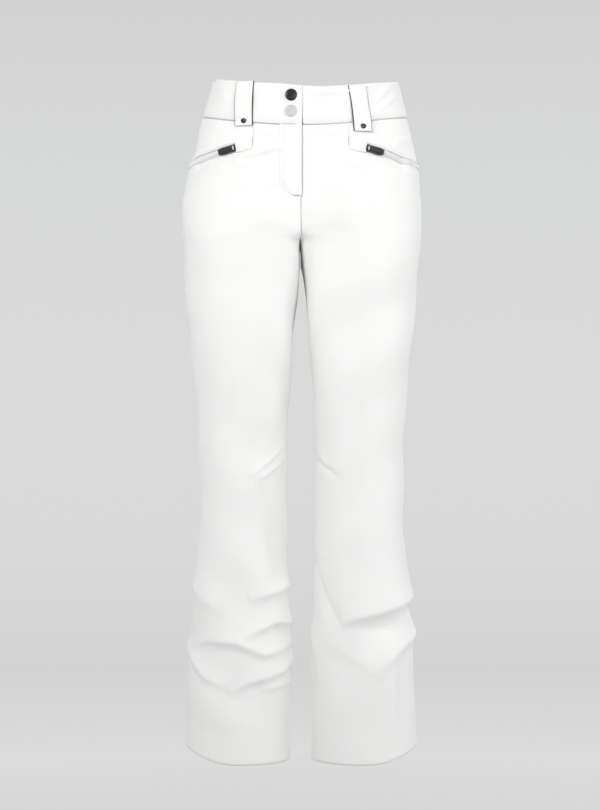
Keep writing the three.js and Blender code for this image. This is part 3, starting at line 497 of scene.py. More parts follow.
def hardFinish(name, colour, rough, metallic=0.0, coat=0.0, grain=900.0, bump=0.05):
    # moulded, lacquered or plated: a fine grain in the roughness, and scuffs that are a little rougher
    material, tree, shader = startMaterial(name)
    shader.inputs["Base Color"].default_value = linear(colour)
    shader.inputs["Metallic"].default_value = metallic
    shader.inputs["Coat Weight"].default_value = coat
    coords = addNode(tree, "ShaderNodeTexCoord")
    grit = addNode(tree, "ShaderNodeTexNoise", {"Scale": grain, "Detail": 3.0},
                   {"Vector": coords.outputs["Object"]})
    scuff = addNode(tree, "ShaderNodeTexNoise", {"Scale": 140.0, "Detail": 5.0},
                    {"Vector": coords.outputs["Object"]})
    both = addNode(tree, "ShaderNodeMix", {"data_type": "FLOAT", 0: 0.4},
                   {2: grit.outputs["Fac"], 3: scuff.outputs["Fac"]})
    gloss = addNode(tree, "ShaderNodeMapRange", {"From Min": 0.3, "From Max": 0.7, "To Min": rough - 0.07,
                                                 "To Max": rough + 0.1}, {"Value": both.outputs[0]})
    tree.links.new(gloss.outputs[0], shader.inputs["Roughness"])
    lumps = addNode(tree, "ShaderNodeBump", {"Strength": bump, "Distance": 0.0002},
                    {"Height": grit.outputs["Fac"]})
    tree.links.new(lumps.outputs[0], shader.inputs["Normal"])
    return material


# real thread spacings are 0.3 to 0.5 mm; they are drawn about twice as coarse, so that they show
softshell = wovenCloth("white softshell", "#FBFBFA", "#F6F6F5", 0.78, 0.18, 0.0009, 0.22)
fleece = wovenCloth("brushed fleece backing", "#ECECEC", "#E2E2E3", 0.93, 0.5, 0.0018, 0.5, twill=False)
liningCloth = wovenCloth("pocket lining taffeta", "#EEF0F3", "#E3E6EA", 0.6, 0.1, 0.0007, 0.15, twill=False)
gaiterCloth = wovenCloth("coated gaiter nylon", "#E6E9ED", "#D9DDE3", 0.5, 0.05, 0.0012, 0.25, twill=False)
tapeCloth = wovenCloth("woven zip tape", "#FAFAF9", "#F2F2F2", 0.75, 0.1, 0.0008, 0.4)
blackBacking = wovenCloth("black backing tape", "#18181A", "#0F0F11", 0.8, 0.2, 0.0008, 0.3)
elasticKnit = wovenCloth("ribbed elastic", "#1D1D20", "#121214", 0.85, 0.25, 0.0016, 0.8, twill=False)
thread = hardFinish("polyester thread", "#F7F7F6", 0.5, grain=2500.0)
coilNylon = hardFinish("nylon coil", "#F8F8F7", 0.38, grain=1500.0)
blackLacquer = hardFinish("black lacquered brass", "#101012", 0.3, coat=0.3)
paleLacquer = hardFinish("pale lacquered brass", "#CFCFCE", 0.36, coat=0.2)
nickelPlate = hardFinish("nickel plate", "#B9BCC1", 0.26, metallic=1.0)
pullerRubber = hardFinish("moulded puller", "#232427", 0.5, grain=700.0, bump=0.15)
print("materials made")

# ---------- the main panels ----------
panel = {
    "columns": 120, "legRows": 340, "hipRows": 28, "yokeRows": 26, "cloth": 1.5,
    "hipFrom": 858.0, "yokeSeamX": 72.0, "slotHalf": 4.9, "backYokeMiddle": 912.0, "backYokeSide": 896.0,
    "seamDip": 0.9, "seamReach": 2.8,
}
def backYokeHeight(x):
    return panel["backYokeMiddle"] + (panel["backYokeSide"] - panel["backYokeMiddle"]) * np.abs(x) / 170


def panelAngle(side, u, z, face):
    # u runs from the side seam to the middle; half way it meets the upright yoke seam near the waist
    end = middleAngle(side, z, face)
    first = 0.0015
    plainHalf = first + (end - first) * 0.5
    seam = angleOfX(side, panel["yokeSeamX"], z)
    half = plainHalf + (seam - plainHalf) * smooth((z - 740) / 130) if face > 0 else plainHalf
    angle = np.where(u < 0.5, first + (half - first) * 2 * u, half + (end - half) * (2 * u - 1))
    return face * angle


def panelGrid(side, face):
    # heights in three stretches: the leg, the hip up to the slot or yoke seam, and on to the waist seam
    u = np.linspace(0, 1, panel["columns"] + 1)[None, :]
    split = np.full_like(u, 900.0)
    for _ in range(8):
        x = np.abs(skinBase(side, panelAngle(side, u, split, face), split)[..., 0])
        split = slotHeight(np.maximum(x, panel["yokeSeamX"])) if face > 0 else backYokeHeight(x)
    half = panel["slotHalf"] / math.cos(slotTilt) if face > 0 else 0.25
    seam = seamHeight(panelAngle(side, u, np.full_like(u, 970.0), face)) - 0.4
    legPart = np.linspace(0, panel["hipFrom"], panel["legRows"])[:, None] + 0 * u
    hipT = np.linspace(0, 1, panel["hipRows"] + 1)[1:, None]
    hipPart = panel["hipFrom"] + (split - half - panel["hipFrom"]) * hipT
    yokeT = np.linspace(0, 1, panel["yokeRows"])[:, None]
    yokePart = split + half + (seam - split - half) * yokeT
    z = np.concatenate([legPart, hipPart, yokePart])
    u = u + 0 * z
    angle = panelAngle(side, u, z, face)
    slotRow = panel["legRows"] + panel["hipRows"]
    return u, z, angle, slotRow


def seamDip(points, rowsFrom, rowsTo, columnsFrom, columnsTo, edges):
    # cloth turns under at a seam: the skin sinks near the named edges of one piece of the grid
    part = points[rowsFrom:rowsTo, columnsFrom:columnsTo]
    across = np.zeros(part.shape[:2])
    across[:, 1:] = np.cumsum(np.linalg.norm(np.diff(part, axis=1), axis=2), axis=1)
    upward = np.zeros(part.shape[:2])
    upward[1:] = np.cumsum(np.linalg.norm(np.diff(part, axis=0), axis=2), axis=0)
    distance = {"start": across, "end": across[:, -1:] - across, "low": upward, "high": upward[-1:] - upward}
    sink = np.zeros(part.shape[:2])
    for edge in edges:
        near = np.clip(1 - distance[edge] / mm / panel["seamReach"], 0, 1)
        sink = np.maximum(sink, near ** 2 * panel["seamDip"])
    return sink


def hemLift(angle, z):
    # the hem dips at the front and back and rides up at the outer side, as the square of the cosine
    return 22 * np.clip(np.cos(angle), 0, 1) ** 2 * smooth(1 - z / 110)


hinge = joints["front_flap_fold"]
jStitch = {"x": 29.0, "bottom": 850.5, "curve": 27.0}  # the stitched line that the fly flap is sewn along


def jLine(z):
    # upright at x, then a quarter of an oval in to the front edge
    t = np.clip((jStitch["bottom"] + jStitch["curve"] - z) / jStitch["curve"], 0, 1)
    return jStitch["x"] * np.sqrt(1 - t * t)


for side, sideName in ((-1, "right"), (1, "left")):
    for face, faceName in ((1, "front"), (-1, "back")):
        u, z, angle, slotRow = panelGrid(side, face)
        bare = skin(side, angle, z)
        rows, columns = z.shape
        yokeColumn = panel["columns"] // 2 if face > 0 else panel["columns"]
        lift = np.zeros(z.shape)
        lowEnd = slotRow
        lift[:lowEnd] -= seamDip(bare, 0, lowEnd, 0, columns, ("start", "end"))
        if face > 0:
            lift[:lowEnd, :yokeColumn] -= 0.5 * seamDip(bare, 0, lowEnd, 0, yokeColumn, ("high",))
            sewn = ("start", "end", "high")
            lift[lowEnd:, yokeColumn:] -= seamDip(bare, lowEnd, rows, yokeColumn, columns, sewn)
            lift[lowEnd:, :yokeColumn] -= seamDip(bare, lowEnd, rows, 0, yokeColumn, sewn)
            lift[lowEnd:, :yokeColumn] -= 0.5 * seamDip(bare, lowEnd, rows, 0, yokeColumn, ("low",))
        else:
            lift[:lowEnd] -= seamDip(bare, 0, lowEnd, 0, columns, ("high",))
            lift[lowEnd:] -= seamDip(bare, lowEnd, rows, 0, columns, ("start", "end", "low", "high"))
        # the hem is turned up, so it is fuller, and its outer corner rides up
        lift += 0.5 * (1 - smooth((z - 30) / 16)) - 1.0 * (1 - smooth(z / 3.0))
        hemRise = hemLift(angle, z)
        points = skin(side, angle, z, lift)
        points[..., 2] += hemRise * mm
        leg = np.zeros((rows - 1, columns - 1), bool)
        leg[:lowEnd - 1] = True
        yoke = np.zeros_like(leg)
        if face > 0:
            leg[lowEnd - 1:, yokeColumn:] = True
            yoke[lowEnd:, :yokeColumn] = True
        else:
            yoke[lowEnd:] = True
        if face > 0 and side < 0:
            # the cloth under the fly flap stops inside the stitched line
            middleX = np.abs(points[:-1, :-1, 0] + points[1:, 1:, 0]) / 2 / mm
            middleZ = (z[:-1, :-1] + z[1:, 1:]) / 2
            leg &= ~((middleX < jLine(middleZ) - 1.5) & (middleZ > jStitch["bottom"] + 2))
        legName = f"{sideName}_{faceName}_leg"
        piece = clothPiece(f"{sideName}{faceName.title()}LegCloth", points, [softshell, fleece],
                           panel["cloth"], leg)
        place(piece, "root", "softshell_cloth", legName)
        yokeName = f"{sideName}_{faceName}_yoke"
        piece = clothPiece(f"{sideName}{faceName.title()}YokeCloth", points, [softshell, fleece],
                           panel["cloth"], yoke)
        place(piece, "root", "softshell_cloth", yokeName)
print("legs and yokes made")


# ---------- stitching: short capsules laid along a line of points ----------
stitch = {"pitch": 3.1, "length": 2.3, "radius": 0.33}


def stitchMesh(name, lines, body, radius=None):
    # each stitch is a six-sided spindle between two points of its line, laid half into the cloth
    radius = (radius or stitch["radius"]) * mm
    centres, ways, outs = [], [], []
    for points, outward in lines:
        step = np.linalg.norm(np.diff(points, axis=0), axis=1)
        run = np.concatenate([[0], np.cumsum(step)])
        count = max(int(run[-1] / (stitch["pitch"] * mm)), 1)
        at = (np.arange(count) + 0.5) * stitch["pitch"] * mm
        at = at[at < run[-1]]
        centre = np.stack([np.interp(at, run, points[:, k]) for k in range(3)], axis=1)
        ahead = np.stack([np.interp(at + 0.0008, run, points[:, k]) for k in range(3)], axis=1)
        behind = np.stack([np.interp(at - 0.0008, run, points[:, k]) for k in range(3)], axis=1)
        way = ahead - behind
        way /= np.linalg.norm(way, axis=1, keepdims=True) + 1e-12
        out = np.stack([np.interp(at, run, outward[:, k]) for k in range(3)], axis=1)
        centres.append(centre)
        ways.append(way)
        outs.append(out)
    centre, way, out = (np.concatenate(item) for item in (centres, ways, outs))
    across = np.cross(way, out)
    across /= np.linalg.norm(across, axis=1, keepdims=True) + 1e-12
    out = np.cross(across, way)
    ring = np.arange(6) * math.pi / 3
    stations = np.array([-1.0, -0.72, 0.0, 0.72, 1.0])
    girth = np.array([0.12, 0.8, 1.0, 0.8, 0.12])
    halfLength = stitch["length"] * mm / 2
    local = centre[:, None, None] + way[:, None, None] * (stations * halfLength)[None, :, None, None]
    aside = across[:, None, None] * np.cos(ring)[None, None, :, None]
    aside = aside + out[:, None, None] * np.sin(ring)[None, None, :, None]
    points = local + aside * (girth * radius)[None, :, None, None]
    one = gridFaces(5, 6, closedAcross=True).reshape(-1, 4)
    caps = np.array([[0, 5, 4, 3], [0, 3, 2, 1], [24, 25, 26, 27], [24, 27, 28, 29]])
    faces = np.concatenate([one, caps])
    count = len(centre)
    every = (faces[None] + (np.arange(count) * 30)[:, None, None]).reshape(-1, 4)
    piece = meshOf(name, points.reshape(-1, 3), every, None, [thread])
    if body == "root":
        place(piece, body, "zip_tape")
    else:
        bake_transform(piece)


def skinLine(side, angle, z, lift):
    # a line on the skin with its outward directions
    low = skin(side, angle, z, lift - 1)
    high = skin(side, angle, z, lift)
    return high, high - low


def skinLineAtX(x, z, face, lift):
    low = skinAtX(x, z, face, np.asarray(lift) - 1)
    high = skinAtX(x, z, face, lift)
    return high, high - low


# ---------- waistband ----------
band = {"thickness": 2.8, "rows": 30, "roll": 1.5, "rollReach": 2.6, "puff": 0.9, "loopX": 84.0,
        "overlapEnd": 1.6}


bandMiddle = 985.0  # the height at which places round the waist are found


def bandProfile(v, height):
    # across the band: rounded where it is folded at the top and turned in at the seam, puffed between,
    # with a shallow groove along each row of stitches
    fromTop, fromSeam = (1 - v) * height, v * height
    sink = band["roll"] * (np.clip(1 - fromTop / band["rollReach"], 0, 1) ** 2)
    sink = sink + band["roll"] * 0.8 * np.clip(1 - fromSeam / band["rollReach"], 0, 1) ** 2
    groove = 0.55 * np.exp(-((fromTop - 5) / 1.2) ** 2) + 0.55 * np.exp(-((fromSeam - 4) / 1.2) ** 2)
    return band["puff"] * smooth(fromTop / 12) * smooth(fromSeam / 10) - sink - groove


# soft creases in the band: (x from the middle, height above the seam), as short ridges
bandCreases = {
    -1: [((-120, 40), (-104, 18), 0.8, 6), ((-60, 12), (-44, 30), 0.6, 5)],
    1: [((8, 47), (66, 48), 1.5, 5), ((20, 12), (60, 20), 0.8, 6), ((138, 52), (108, 22), 1.5, 5),
        ((146, 38), (120, 10), 1.3, 5), ((134, 30), (112, 12), 0.9, 4), ((70, 40), (84, 14), 1.0, 5)],
}


def bandRelief(x, above, side):
    height = np.zeros(np.broadcast(x, above).shape)
    for (ax, az), (bx, bz), rise, width in bandCreases[side]:
        dx, dz = bx - ax, bz - az
        t = np.clip(((x - ax) * dx + (above - az) * dz) / (dx * dx + dz * dz), 0, 1)
        away = np.hypot(x - ax - t * dx, above - az - t * dz)
        ends = np.sin(math.pi * np.clip(t, 0.02, 0.98)) ** 0.6
        height = height + 1.7 * rise * np.exp(-(away / width) ** 1.6) * ends
    return height


def bandByAngle(side, face, angleFrom, angleTo, columns, extra=0.0):
    v = np.linspace(0, 1, band["rows"])[:, None]
    angle = face * np.linspace(angleFrom, angleTo, columns)[None, :]
    low, high = seamHeight(angle) + 0.4, topHeight(side, angle)
    z = low + (high - low) * v
    angle = angle + 0 * v
    plain = skin(side, angle, z, 0, plain=True)
    wrinkle = bandRelief(plain[..., 0] / mm, z - low, side) if face > 0 else 0
    return skin(side, angle, z, bandProfile(v, high - low) + wrinkle + extra, plain=True)


def bandByX(xFrom, xTo, columns, liftOf):
    v = np.linspace(0, 1, band["rows"])[:, None]
    x = np.linspace(xFrom, xTo, columns)[None, :] + 0 * v
    angle = angleOfX(-1, x, np.full_like(x, bandMiddle))
    low = seamHeight(angle) + 0.4
    high = np.where(x < 0, topHeight(-1, angle), topHeight(1, angle))
    z = low + (high - low) * v
    wrinkle = np.where(x < 0, bandRelief(x, z - low, -1), 0)
    ends = np.minimum(x - xFrom, xTo - x)
    endRoll = -band["roll"] * np.clip(1 - ends / band["rollReach"], 0, 1) ** 2
    return skinAtX(x, z, 1, bandProfile(v, high - low) + liftOf(x) + wrinkle + endRoll, plain=True)


def outOfBody(points):
    out = points.copy()
    out[:, 1] -= seamPlaneY * mm
    out[:, 2] = 0
    return out


loopAngle = float(angleOfX(-1, band["loopX"], np.float64(bandMiddle)))
endAngle = math.pi / 2
rightBand = bandByAngle(-1, 1, 0.002, loopAngle, 90)
piece = clothPiece("rightWaistband", rightBand, [softshell, fleece], band["thickness"], outward=outOfBody)
place(piece, "root", "softshell_cloth", "waistband_right")

leftBand = bandByAngle(1, 1, 0.002, float(angleOfX(1, 1.0, np.float64(bandMiddle))), 170)
piece = clothPiece("leftWaistband", leftBand, [softshell, fleece], band["thickness"], outward=outOfBody)
place(piece, "root", "softshell_cloth", "waistband_left")

rightBack = bandByAngle(-1, -1, 0.002, endAngle, 150)
leftBack = bandByAngle(1, -1, 0.002, endAngle, 150)
rightBack[:, -1, 0] = 0
wholeBack = np.concatenate([rightBack, leftBack[:, ::-1][:, 1:]], axis=1)
piece = clothPiece("backWaistband", wholeBack, [softshell, fleece], band["thickness"], outward=outOfBody)
place(piece, "root", "softshell_cloth", "waistband_back")

# The free front: the overlap of the band and the fly flap, and the slanted line of their joint.
hingeWay = np.array(hinge["axis"])
foldAcross = np.cross(hingeWay, (0.0, 1.0, 0.0))
foldAcross /= np.linalg.norm(foldAcross)
foldAcross *= np.sign(foldAcross[0])


def overlapLift(x):
    return 0.2 + 4.2 * smooth((x + 40) / 34)


overlap = bandByX(-band["loopX"] - 2, band["overlapEnd"], 120, overlapLift)
piece = clothPiece("waistbandOverlap", overlap, [softshell, fleece], band["thickness"], outward=outOfBody)
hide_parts("waistband_overlap")
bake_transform(piece)

flapEdge = {"left": 3.0, "right": 1.3, "rows": 70, "columns": 44}
v = np.linspace(0, 1, flapEdge["rows"])[:, None]
s = np.linspace(0, 1, flapEdge["columns"])[None, :]
flapZ = jStitch["bottom"] + 1.2 + (waist["seamFront"] + 1.2 - jStitch["bottom"] - 1.2) * v ** 1.2 + 0 * s
flapX = -(jLine(flapZ) + flapEdge["left"]) + (jLine(flapZ) + flapEdge["left"] + flapEdge["right"]) * s
edgeNear = np.minimum(flapX + jLine(flapZ) + flapEdge["left"], flapEdge["right"] - flapX)
flapLift = 0.9 + 3.2 * smooth((flapX + 18) / 15) - 0.7 * np.clip(1 - edgeNear / 2.0, 0, 1) ** 2
for offset in (3.2, 6.6):
    flapLift = flapLift - 0.8 * np.exp(-((-flapX - jLine(flapZ) + offset - 3.2) / 0.9) ** 2)
flap = skinAtX(flapX, flapZ, 1, flapLift)
piece = clothPiece("flyFlapCloth", flap, [softshell, fleece], 1.4, outward=outOfBody)
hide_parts("fly_flap")
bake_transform(piece)
print("waistband and flap made")

# the tongue under the overlap that carries the studs
v = np.linspace(0, 1, 24)[:, None]
x = np.linspace(-31, 26, 40)[None, :] + 0 * v
tongueZ = 959 + (1013.5 - 959) * v + 0 * x
ends = np.minimum(x + 31, 0 * x + 30)
tongueLift = -6.6 - 1.0 * np.clip(1 - ends / 2.5, 0, 1) ** 2
tongueLift = tongueLift - 0.9 * np.clip(1 - (1013.5 - tongueZ) / 2.5, 0, 1) ** 2
tongue = skinAtX(x, tongueZ, 1, tongueLift, plain=True)
piece = clothPiece("waistbandTongue", tongue, [softshell, fleece], 2.2, outward=outOfBody)
place(piece, "root", "softshell_cloth", "waistband_underlap")

# fly shield behind the zip: a soft strip with a turned edge
low, high = (np.array(item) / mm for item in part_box("fly_shield"))
v = np.linspace(0, 1, 40)[:, None]
x = np.linspace(low[0], high[0], 26)[None, :] + 0 * v
shieldZ = low[2] + (high[2] - low[2]) * v + 0 * x
edge = np.minimum(np.minimum(x - low[0], high[0] - x), np.minimum(shieldZ - low[2], high[2] - shieldZ))
shieldY = low[1] + 0.6 * np.sin(shieldZ / 17) + 0.5 * np.clip(1 - edge / 2, 0, 1) ** 2
shield = np.stack([x, shieldY, shieldZ], axis=-1) * mm
piece = clothPiece("flyShield", shield, [liningCloth], 0.9, outward=outOfBody)
place(piece, "root", "lining_cloth", "fly_shield")


# ---------- small turned and moulded pieces ----------
def turned(name, centre, outward, profile, material, body, slot, *nodes, steps=48, order=None):
    # a profile of (radius, height) in millimetres, turned about the outward direction
    outward = np.asarray(outward, float) / np.linalg.norm(outward)
    first = np.cross(outward, (0.0, 0.0, 1.0))
    first /= np.linalg.norm(first)
    second = np.cross(outward, first)
    turn = np.arange(steps) * 2 * math.pi / steps
    radius, height = np.array(profile, float).T
    spoke = np.cos(turn)[None, :, None] * first + np.sin(turn)[None, :, None] * second
    points = np.asarray(centre) + mm * (radius[:, None, None] * spoke + height[:, None, None] * outward)
    faces = gridFaces(len(radius), steps, closedAcross=True).reshape(-1, 4)
    flat = points.reshape(-1, 3)
    faces = facesOut(flat, faces, lambda middle: middle - (np.asarray(centre) + mm * height.mean() * outward))
    piece = meshOf(name, flat, faces, None, [material])
    mesh = piece.data
    form = bmesh.new()
    form.from_mesh(mesh)
    bmesh.ops.remove_doubles(form, verts=form.verts, dist=1e-6)
    bmesh.ops.recalc_face_normals(form, faces=form.faces)
    form.to_mesh(mesh)
    form.free()
    return place(piece, body, slot, *nodes)


def boxMiddle(node):
    low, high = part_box(node)
    return np.array((low + high) / 2)


def boxSpan(node):
    low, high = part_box(node)
    return np.array(high - low)


def bandNormal(x, z, face):
    near = skinAtX(np.array([x]), np.array([z]), face, 0.0, plain=True)[0]
    away = skinAtX(np.array([x]), np.array([z]), face, 1.0, plain=True)[0]
    way = away - near
    return way / np.linalg.norm(way)


capRadius = boxSpan("snap_cap_upper")[0] / mm / 2
capProfile = [(0, 0.55), (2.0, 0.62), (4.6, 0.75), (6.2, 0.95), (6.7, 1.0), (7.0, 0.78), (7.3, 0.78),
              (7.6, 1.0), (8.4, 0.8), (capRadius - 0.15, 0.2), (capRadius, -0.5),
              (capRadius - 0.4, -0.9), (0, -0.9)]
for level, material, slot in (("upper", blackLacquer, "black_snap"), ("lower", paleLacquer, "pale_snap")):
    middle = boxMiddle(f"snap_cap_{level}")
    way = bandNormal(middle[0] / mm, middle[2] / mm, 1)
    # the cap sits on the puffed overlap, and its rim presses in a little
    surface = skinAtX(np.array([middle[0] / mm]), np.array([middle[2] / mm]), 1,
                      band["puff"] + overlapLift(middle[0] / mm), plain=True)[0]
    turned(f"snapCap{level.title()}", surface + way * 0.9 * mm, way, capProfile, material, "front_flap", slot,
           f"snap_cap_{level}")
for node, item in frame["nodes"].items():
    if node.startswith(("snap_socket", "snap_stud", "snap_back", "fly_zip_slider", "fly_zip_puller",
                        "fly_zip_bottom")):
        item.data.materials.clear()
        item.data.materials.append(nickelPlate)
print("snaps made")

# ---------- belt loops: a white face over a black backing that shows at its edges ----------
beltLoop = {"width": 25.0, "backing": 27.2, "face": 1.1, "rise": 2.6, "rows": 60, "columns": 22}
loops = {
    "front_right": {"x": -84.5, "face": 1, "low": 957.0, "high": 1024.0, "lean": -2.0, "slack": 0.0,
                    "cut": 0.085},
    "front_left": {"x": 88.0, "face": 1, "low": 949.0, "high": 1017.0, "lean": 9.0, "slack": 1.6,
                   "cut": 0.085},
    "back_right": {"x": -92.0, "face": -1, "low": 974.0, "high": 1040.0, "lean": 0.0, "slack": 0.3,
                   "cut": 0.085},
    "back_left": {"x": 92.0, "face": -1, "low": 974.0, "high": 1040.0, "lean": 0.0, "slack": -0.3,
                  "cut": 0.085},
    "back_centre": {"x": 0.0, "face": -1, "low": 975.0, "high": 1034.0, "lean": 0.0, "slack": 0.0,
                    "cut": 0.075},
}
frontStitches = {"root": [], "flap": []}
for name, loop in loops.items():
    t = np.linspace(0, 1, beltLoop["rows"])[:, None]
    w = np.linspace(-0.5, 0.5, beltLoop["columns"])[None, :]
    z = loop["low"] + (loop["high"] - loop["low"]) * t + 0 * w
    stand = 0.9 + beltLoop["rise"] * np.sin(math.pi * np.clip((t - 0.13) / 0.74, 0, 1)) ** 0.55
    stand = stand + loop["slack"] * np.sin(2 * math.pi * t + 1.1) * (0.4 + w)
    leanX = loop["lean"] * (0.5 - t)

    def loopSheet(width, lift):
        x = loop["x"] + leanX + width * w
        crown = 0.9 - 1.0 * np.abs(2 * w) ** 3
        return skinAtX(x, z, loop["face"], stand + lift + crown * 0.5, plain=True)

    front = loopSheet(beltLoop["width"], 1.2)
    piece = clothPiece(f"beltLoop_{name}", front, [softshell, softshell], beltLoop["face"], outward=outOfBody)
    place(piece, "root", "loop_cloth", f"belt_loop_{name}")
    back = loopSheet(beltLoop["backing"], 0.0)
    piece = clothPiece(f"beltLoopBacking_{name}", back, [blackBacking], 0.8, outward=outOfBody)
    place(piece, "root", "elastic")
    for edge in (-1, 1):
        column = 2 if edge < 0 else beltLoop["columns"] - 3
        line = front[:, column]
        frontStitches["root"].append((line, loopSheet(beltLoop["width"], 2.2)[:, column] - line))
    footRow, middleColumn = round(beltLoop["rows"] * 0.11), beltLoop["columns"] // 2
    seat = front[footRow, middleColumn]
    way = bandNormal(seat[0] / mm, seat[2] / mm, loop["face"])
    rivetProfile = [(0, 1.25), (1.8, 1.2), (3.0, 0.95), (3.5, 0.6), (3.8, 0.66), (4.4, 0.45), (4.8, 0.0),
                    (4.4, -0.3), (0, -0.3)]
    turned(f"beltLoopRivet_{name}", seat, way, rivetProfile, blackLacquer, "root", "black_snap",
           f"belt_loop_{name}_rivet", steps=32)
print("belt loops made")

# ---------- hand pockets ----------
coilLook = {"pitch": 2.0, "length": 3.4, "thick": 0.72}


def toothRow(name, points, outward, body, slot, nodes, halfGap=1.6):
    # two rows of coil turns that meet down the middle, each turn a little six-sided spindle across
    step = np.linalg.norm(np.diff(points, axis=0), axis=1)
    run = np.concatenate([[0], np.cumsum(step)])
    at = np.arange(0.6, run[-1] / mm - 0.6, coilLook["pitch"]) * mm
    centre = np.stack([np.interp(at, run, points[:, k]) for k in range(3)], axis=1)
    ahead = np.stack([np.interp(at + 0.001, run, points[:, k]) for k in range(3)], axis=1)
    out = np.stack([np.interp(at, run, outward[:, k]) for k in range(3)], axis=1)
    out /= np.linalg.norm(out, axis=1, keepdims=True)
    way = ahead - centre
    way /= np.linalg.norm(way, axis=1, keepdims=True) + 1e-12
    way[-1] = way[-2]
    across = np.cross(way, out)
    across /= np.linalg.norm(across, axis=1, keepdims=True)
    stations = np.array([-1.0, -0.85, -0.3, 0.3, 0.85, 1.0])
    girth = np.array([0.3, 0.85, 1.0, 1.0, 0.85, 0.3])
    ring = np.arange(8) * math.pi / 4
    parts, faces = [], []
    one = gridFaces(6, 8, closedAcross=True).reshape(-1, 4)
    caps = np.array([[0, 7, 6, 5], [0, 5, 4, 3], [0, 3, 2, 1],
                     [40, 41, 42, 43], [40, 43, 44, 45], [40, 45, 46, 47]])
    single = np.concatenate([one, caps])
    for sideOf in (-1, 1):
        shift = way * coilLook["pitch"] * 0.25 * sideOf * mm
        middle = centre + across * sideOf * halfGap * mm + shift
        reach = (stations * coilLook["length"] / 2 * mm)[None, :, None, None]
        turn = way[:, None, None] * np.cos(ring)[None, None, :, None]
        turn = turn + out[:, None, None] * np.sin(ring)[None, None, :, None] * 1.5
        line = middle[:, None, None] + across[:, None, None] * reach
        solid = line + turn * (girth * coilLook["thick"] * mm)[None, :, None, None]
        firstCorner = (np.arange(len(centre)) + len(centre) * (sideOf > 0)) * 48
        faces.append((single[None] + firstCorner[:, None, None]).reshape(-1, 4))
        parts.append(solid.reshape(-1, 3))
    piece = meshOf(name, np.concatenate(parts), np.concatenate(faces), None, [coilNylon])
    return place(piece, body, slot, *nodes)


def loftedPlate(name, centre, along, outward, outline, thickness, crown, material, body, slot, nodes=()):
    # a moulded plate: rings of the outline shrink over a rounded edge to a slightly crowned top, both faces
    along = np.asarray(along, float) / np.linalg.norm(along)
    outward = np.asarray(outward, float)
    outward = outward - along * (along @ outward)
    outward /= np.linalg.norm(outward)
    across = np.cross(along, outward)
    outline = np.asarray(outline, float)
    middle = outline.mean(axis=0)
    shrink = np.array([0.02, 0.5, 0.84, 0.93, 0.98, 1.0, 1.0, 0.98, 0.93, 0.84, 0.5, 0.02])
    half = thickness / 2
    rise = np.array([half + crown, half + crown * 0.8, half + crown * 0.15,
                     half * 0.92, half * 0.6, half * 0.25])
    height = np.concatenate([rise, -rise[::-1]])
    ring = middle + (outline - middle)[None] * shrink[:, None, None]
    points = np.asarray(centre) + mm * (
        ring[..., :1] * along + ring[..., 1:] * across + height[:, None, None] * outward)
    faces = gridFaces(len(shrink), len(outline), closedAcross=True).reshape(-1, 4)
    flat = points.reshape(-1, 3)
    core = np.asarray(centre) + mm * middle[0] * along + mm * middle[1] * across
    faces = facesOut(flat, faces, lambda m: m - core)
    piece = meshOf(name, flat, faces, None, [material])
    form = bmesh.new()
    form.from_mesh(piece.data)
    bmesh.ops.holes_fill(form, edges=form.edges, sides=len(outline) + 1)
    bmesh.ops.recalc_face_normals(form, faces=form.faces)
    form.to_mesh(piece.data)
    form.free()
    return place(piece, body, slot, *nodes)


def roundedOutline(lengthFrom, lengthTo, halfStart, halfEnd, corner, count=64):
    # a tapered bar with round corners, its points given as (along, across)
    t = np.arange(count) / count * 2 * math.pi
    power = corner
    c, s = np.cos(t), np.sin(t)
    along = (lengthFrom + lengthTo) / 2 + (lengthTo - lengthFrom) / 2 * np.sign(c) * np.abs(c) ** power
    share = (along - lengthFrom) / (lengthTo - lengthFrom)
    half = halfStart + (halfEnd - halfStart) * smooth(share * 1.6)
    return np.stack([along, half * np.sign(s) * np.abs(s) ** power], axis=-1)


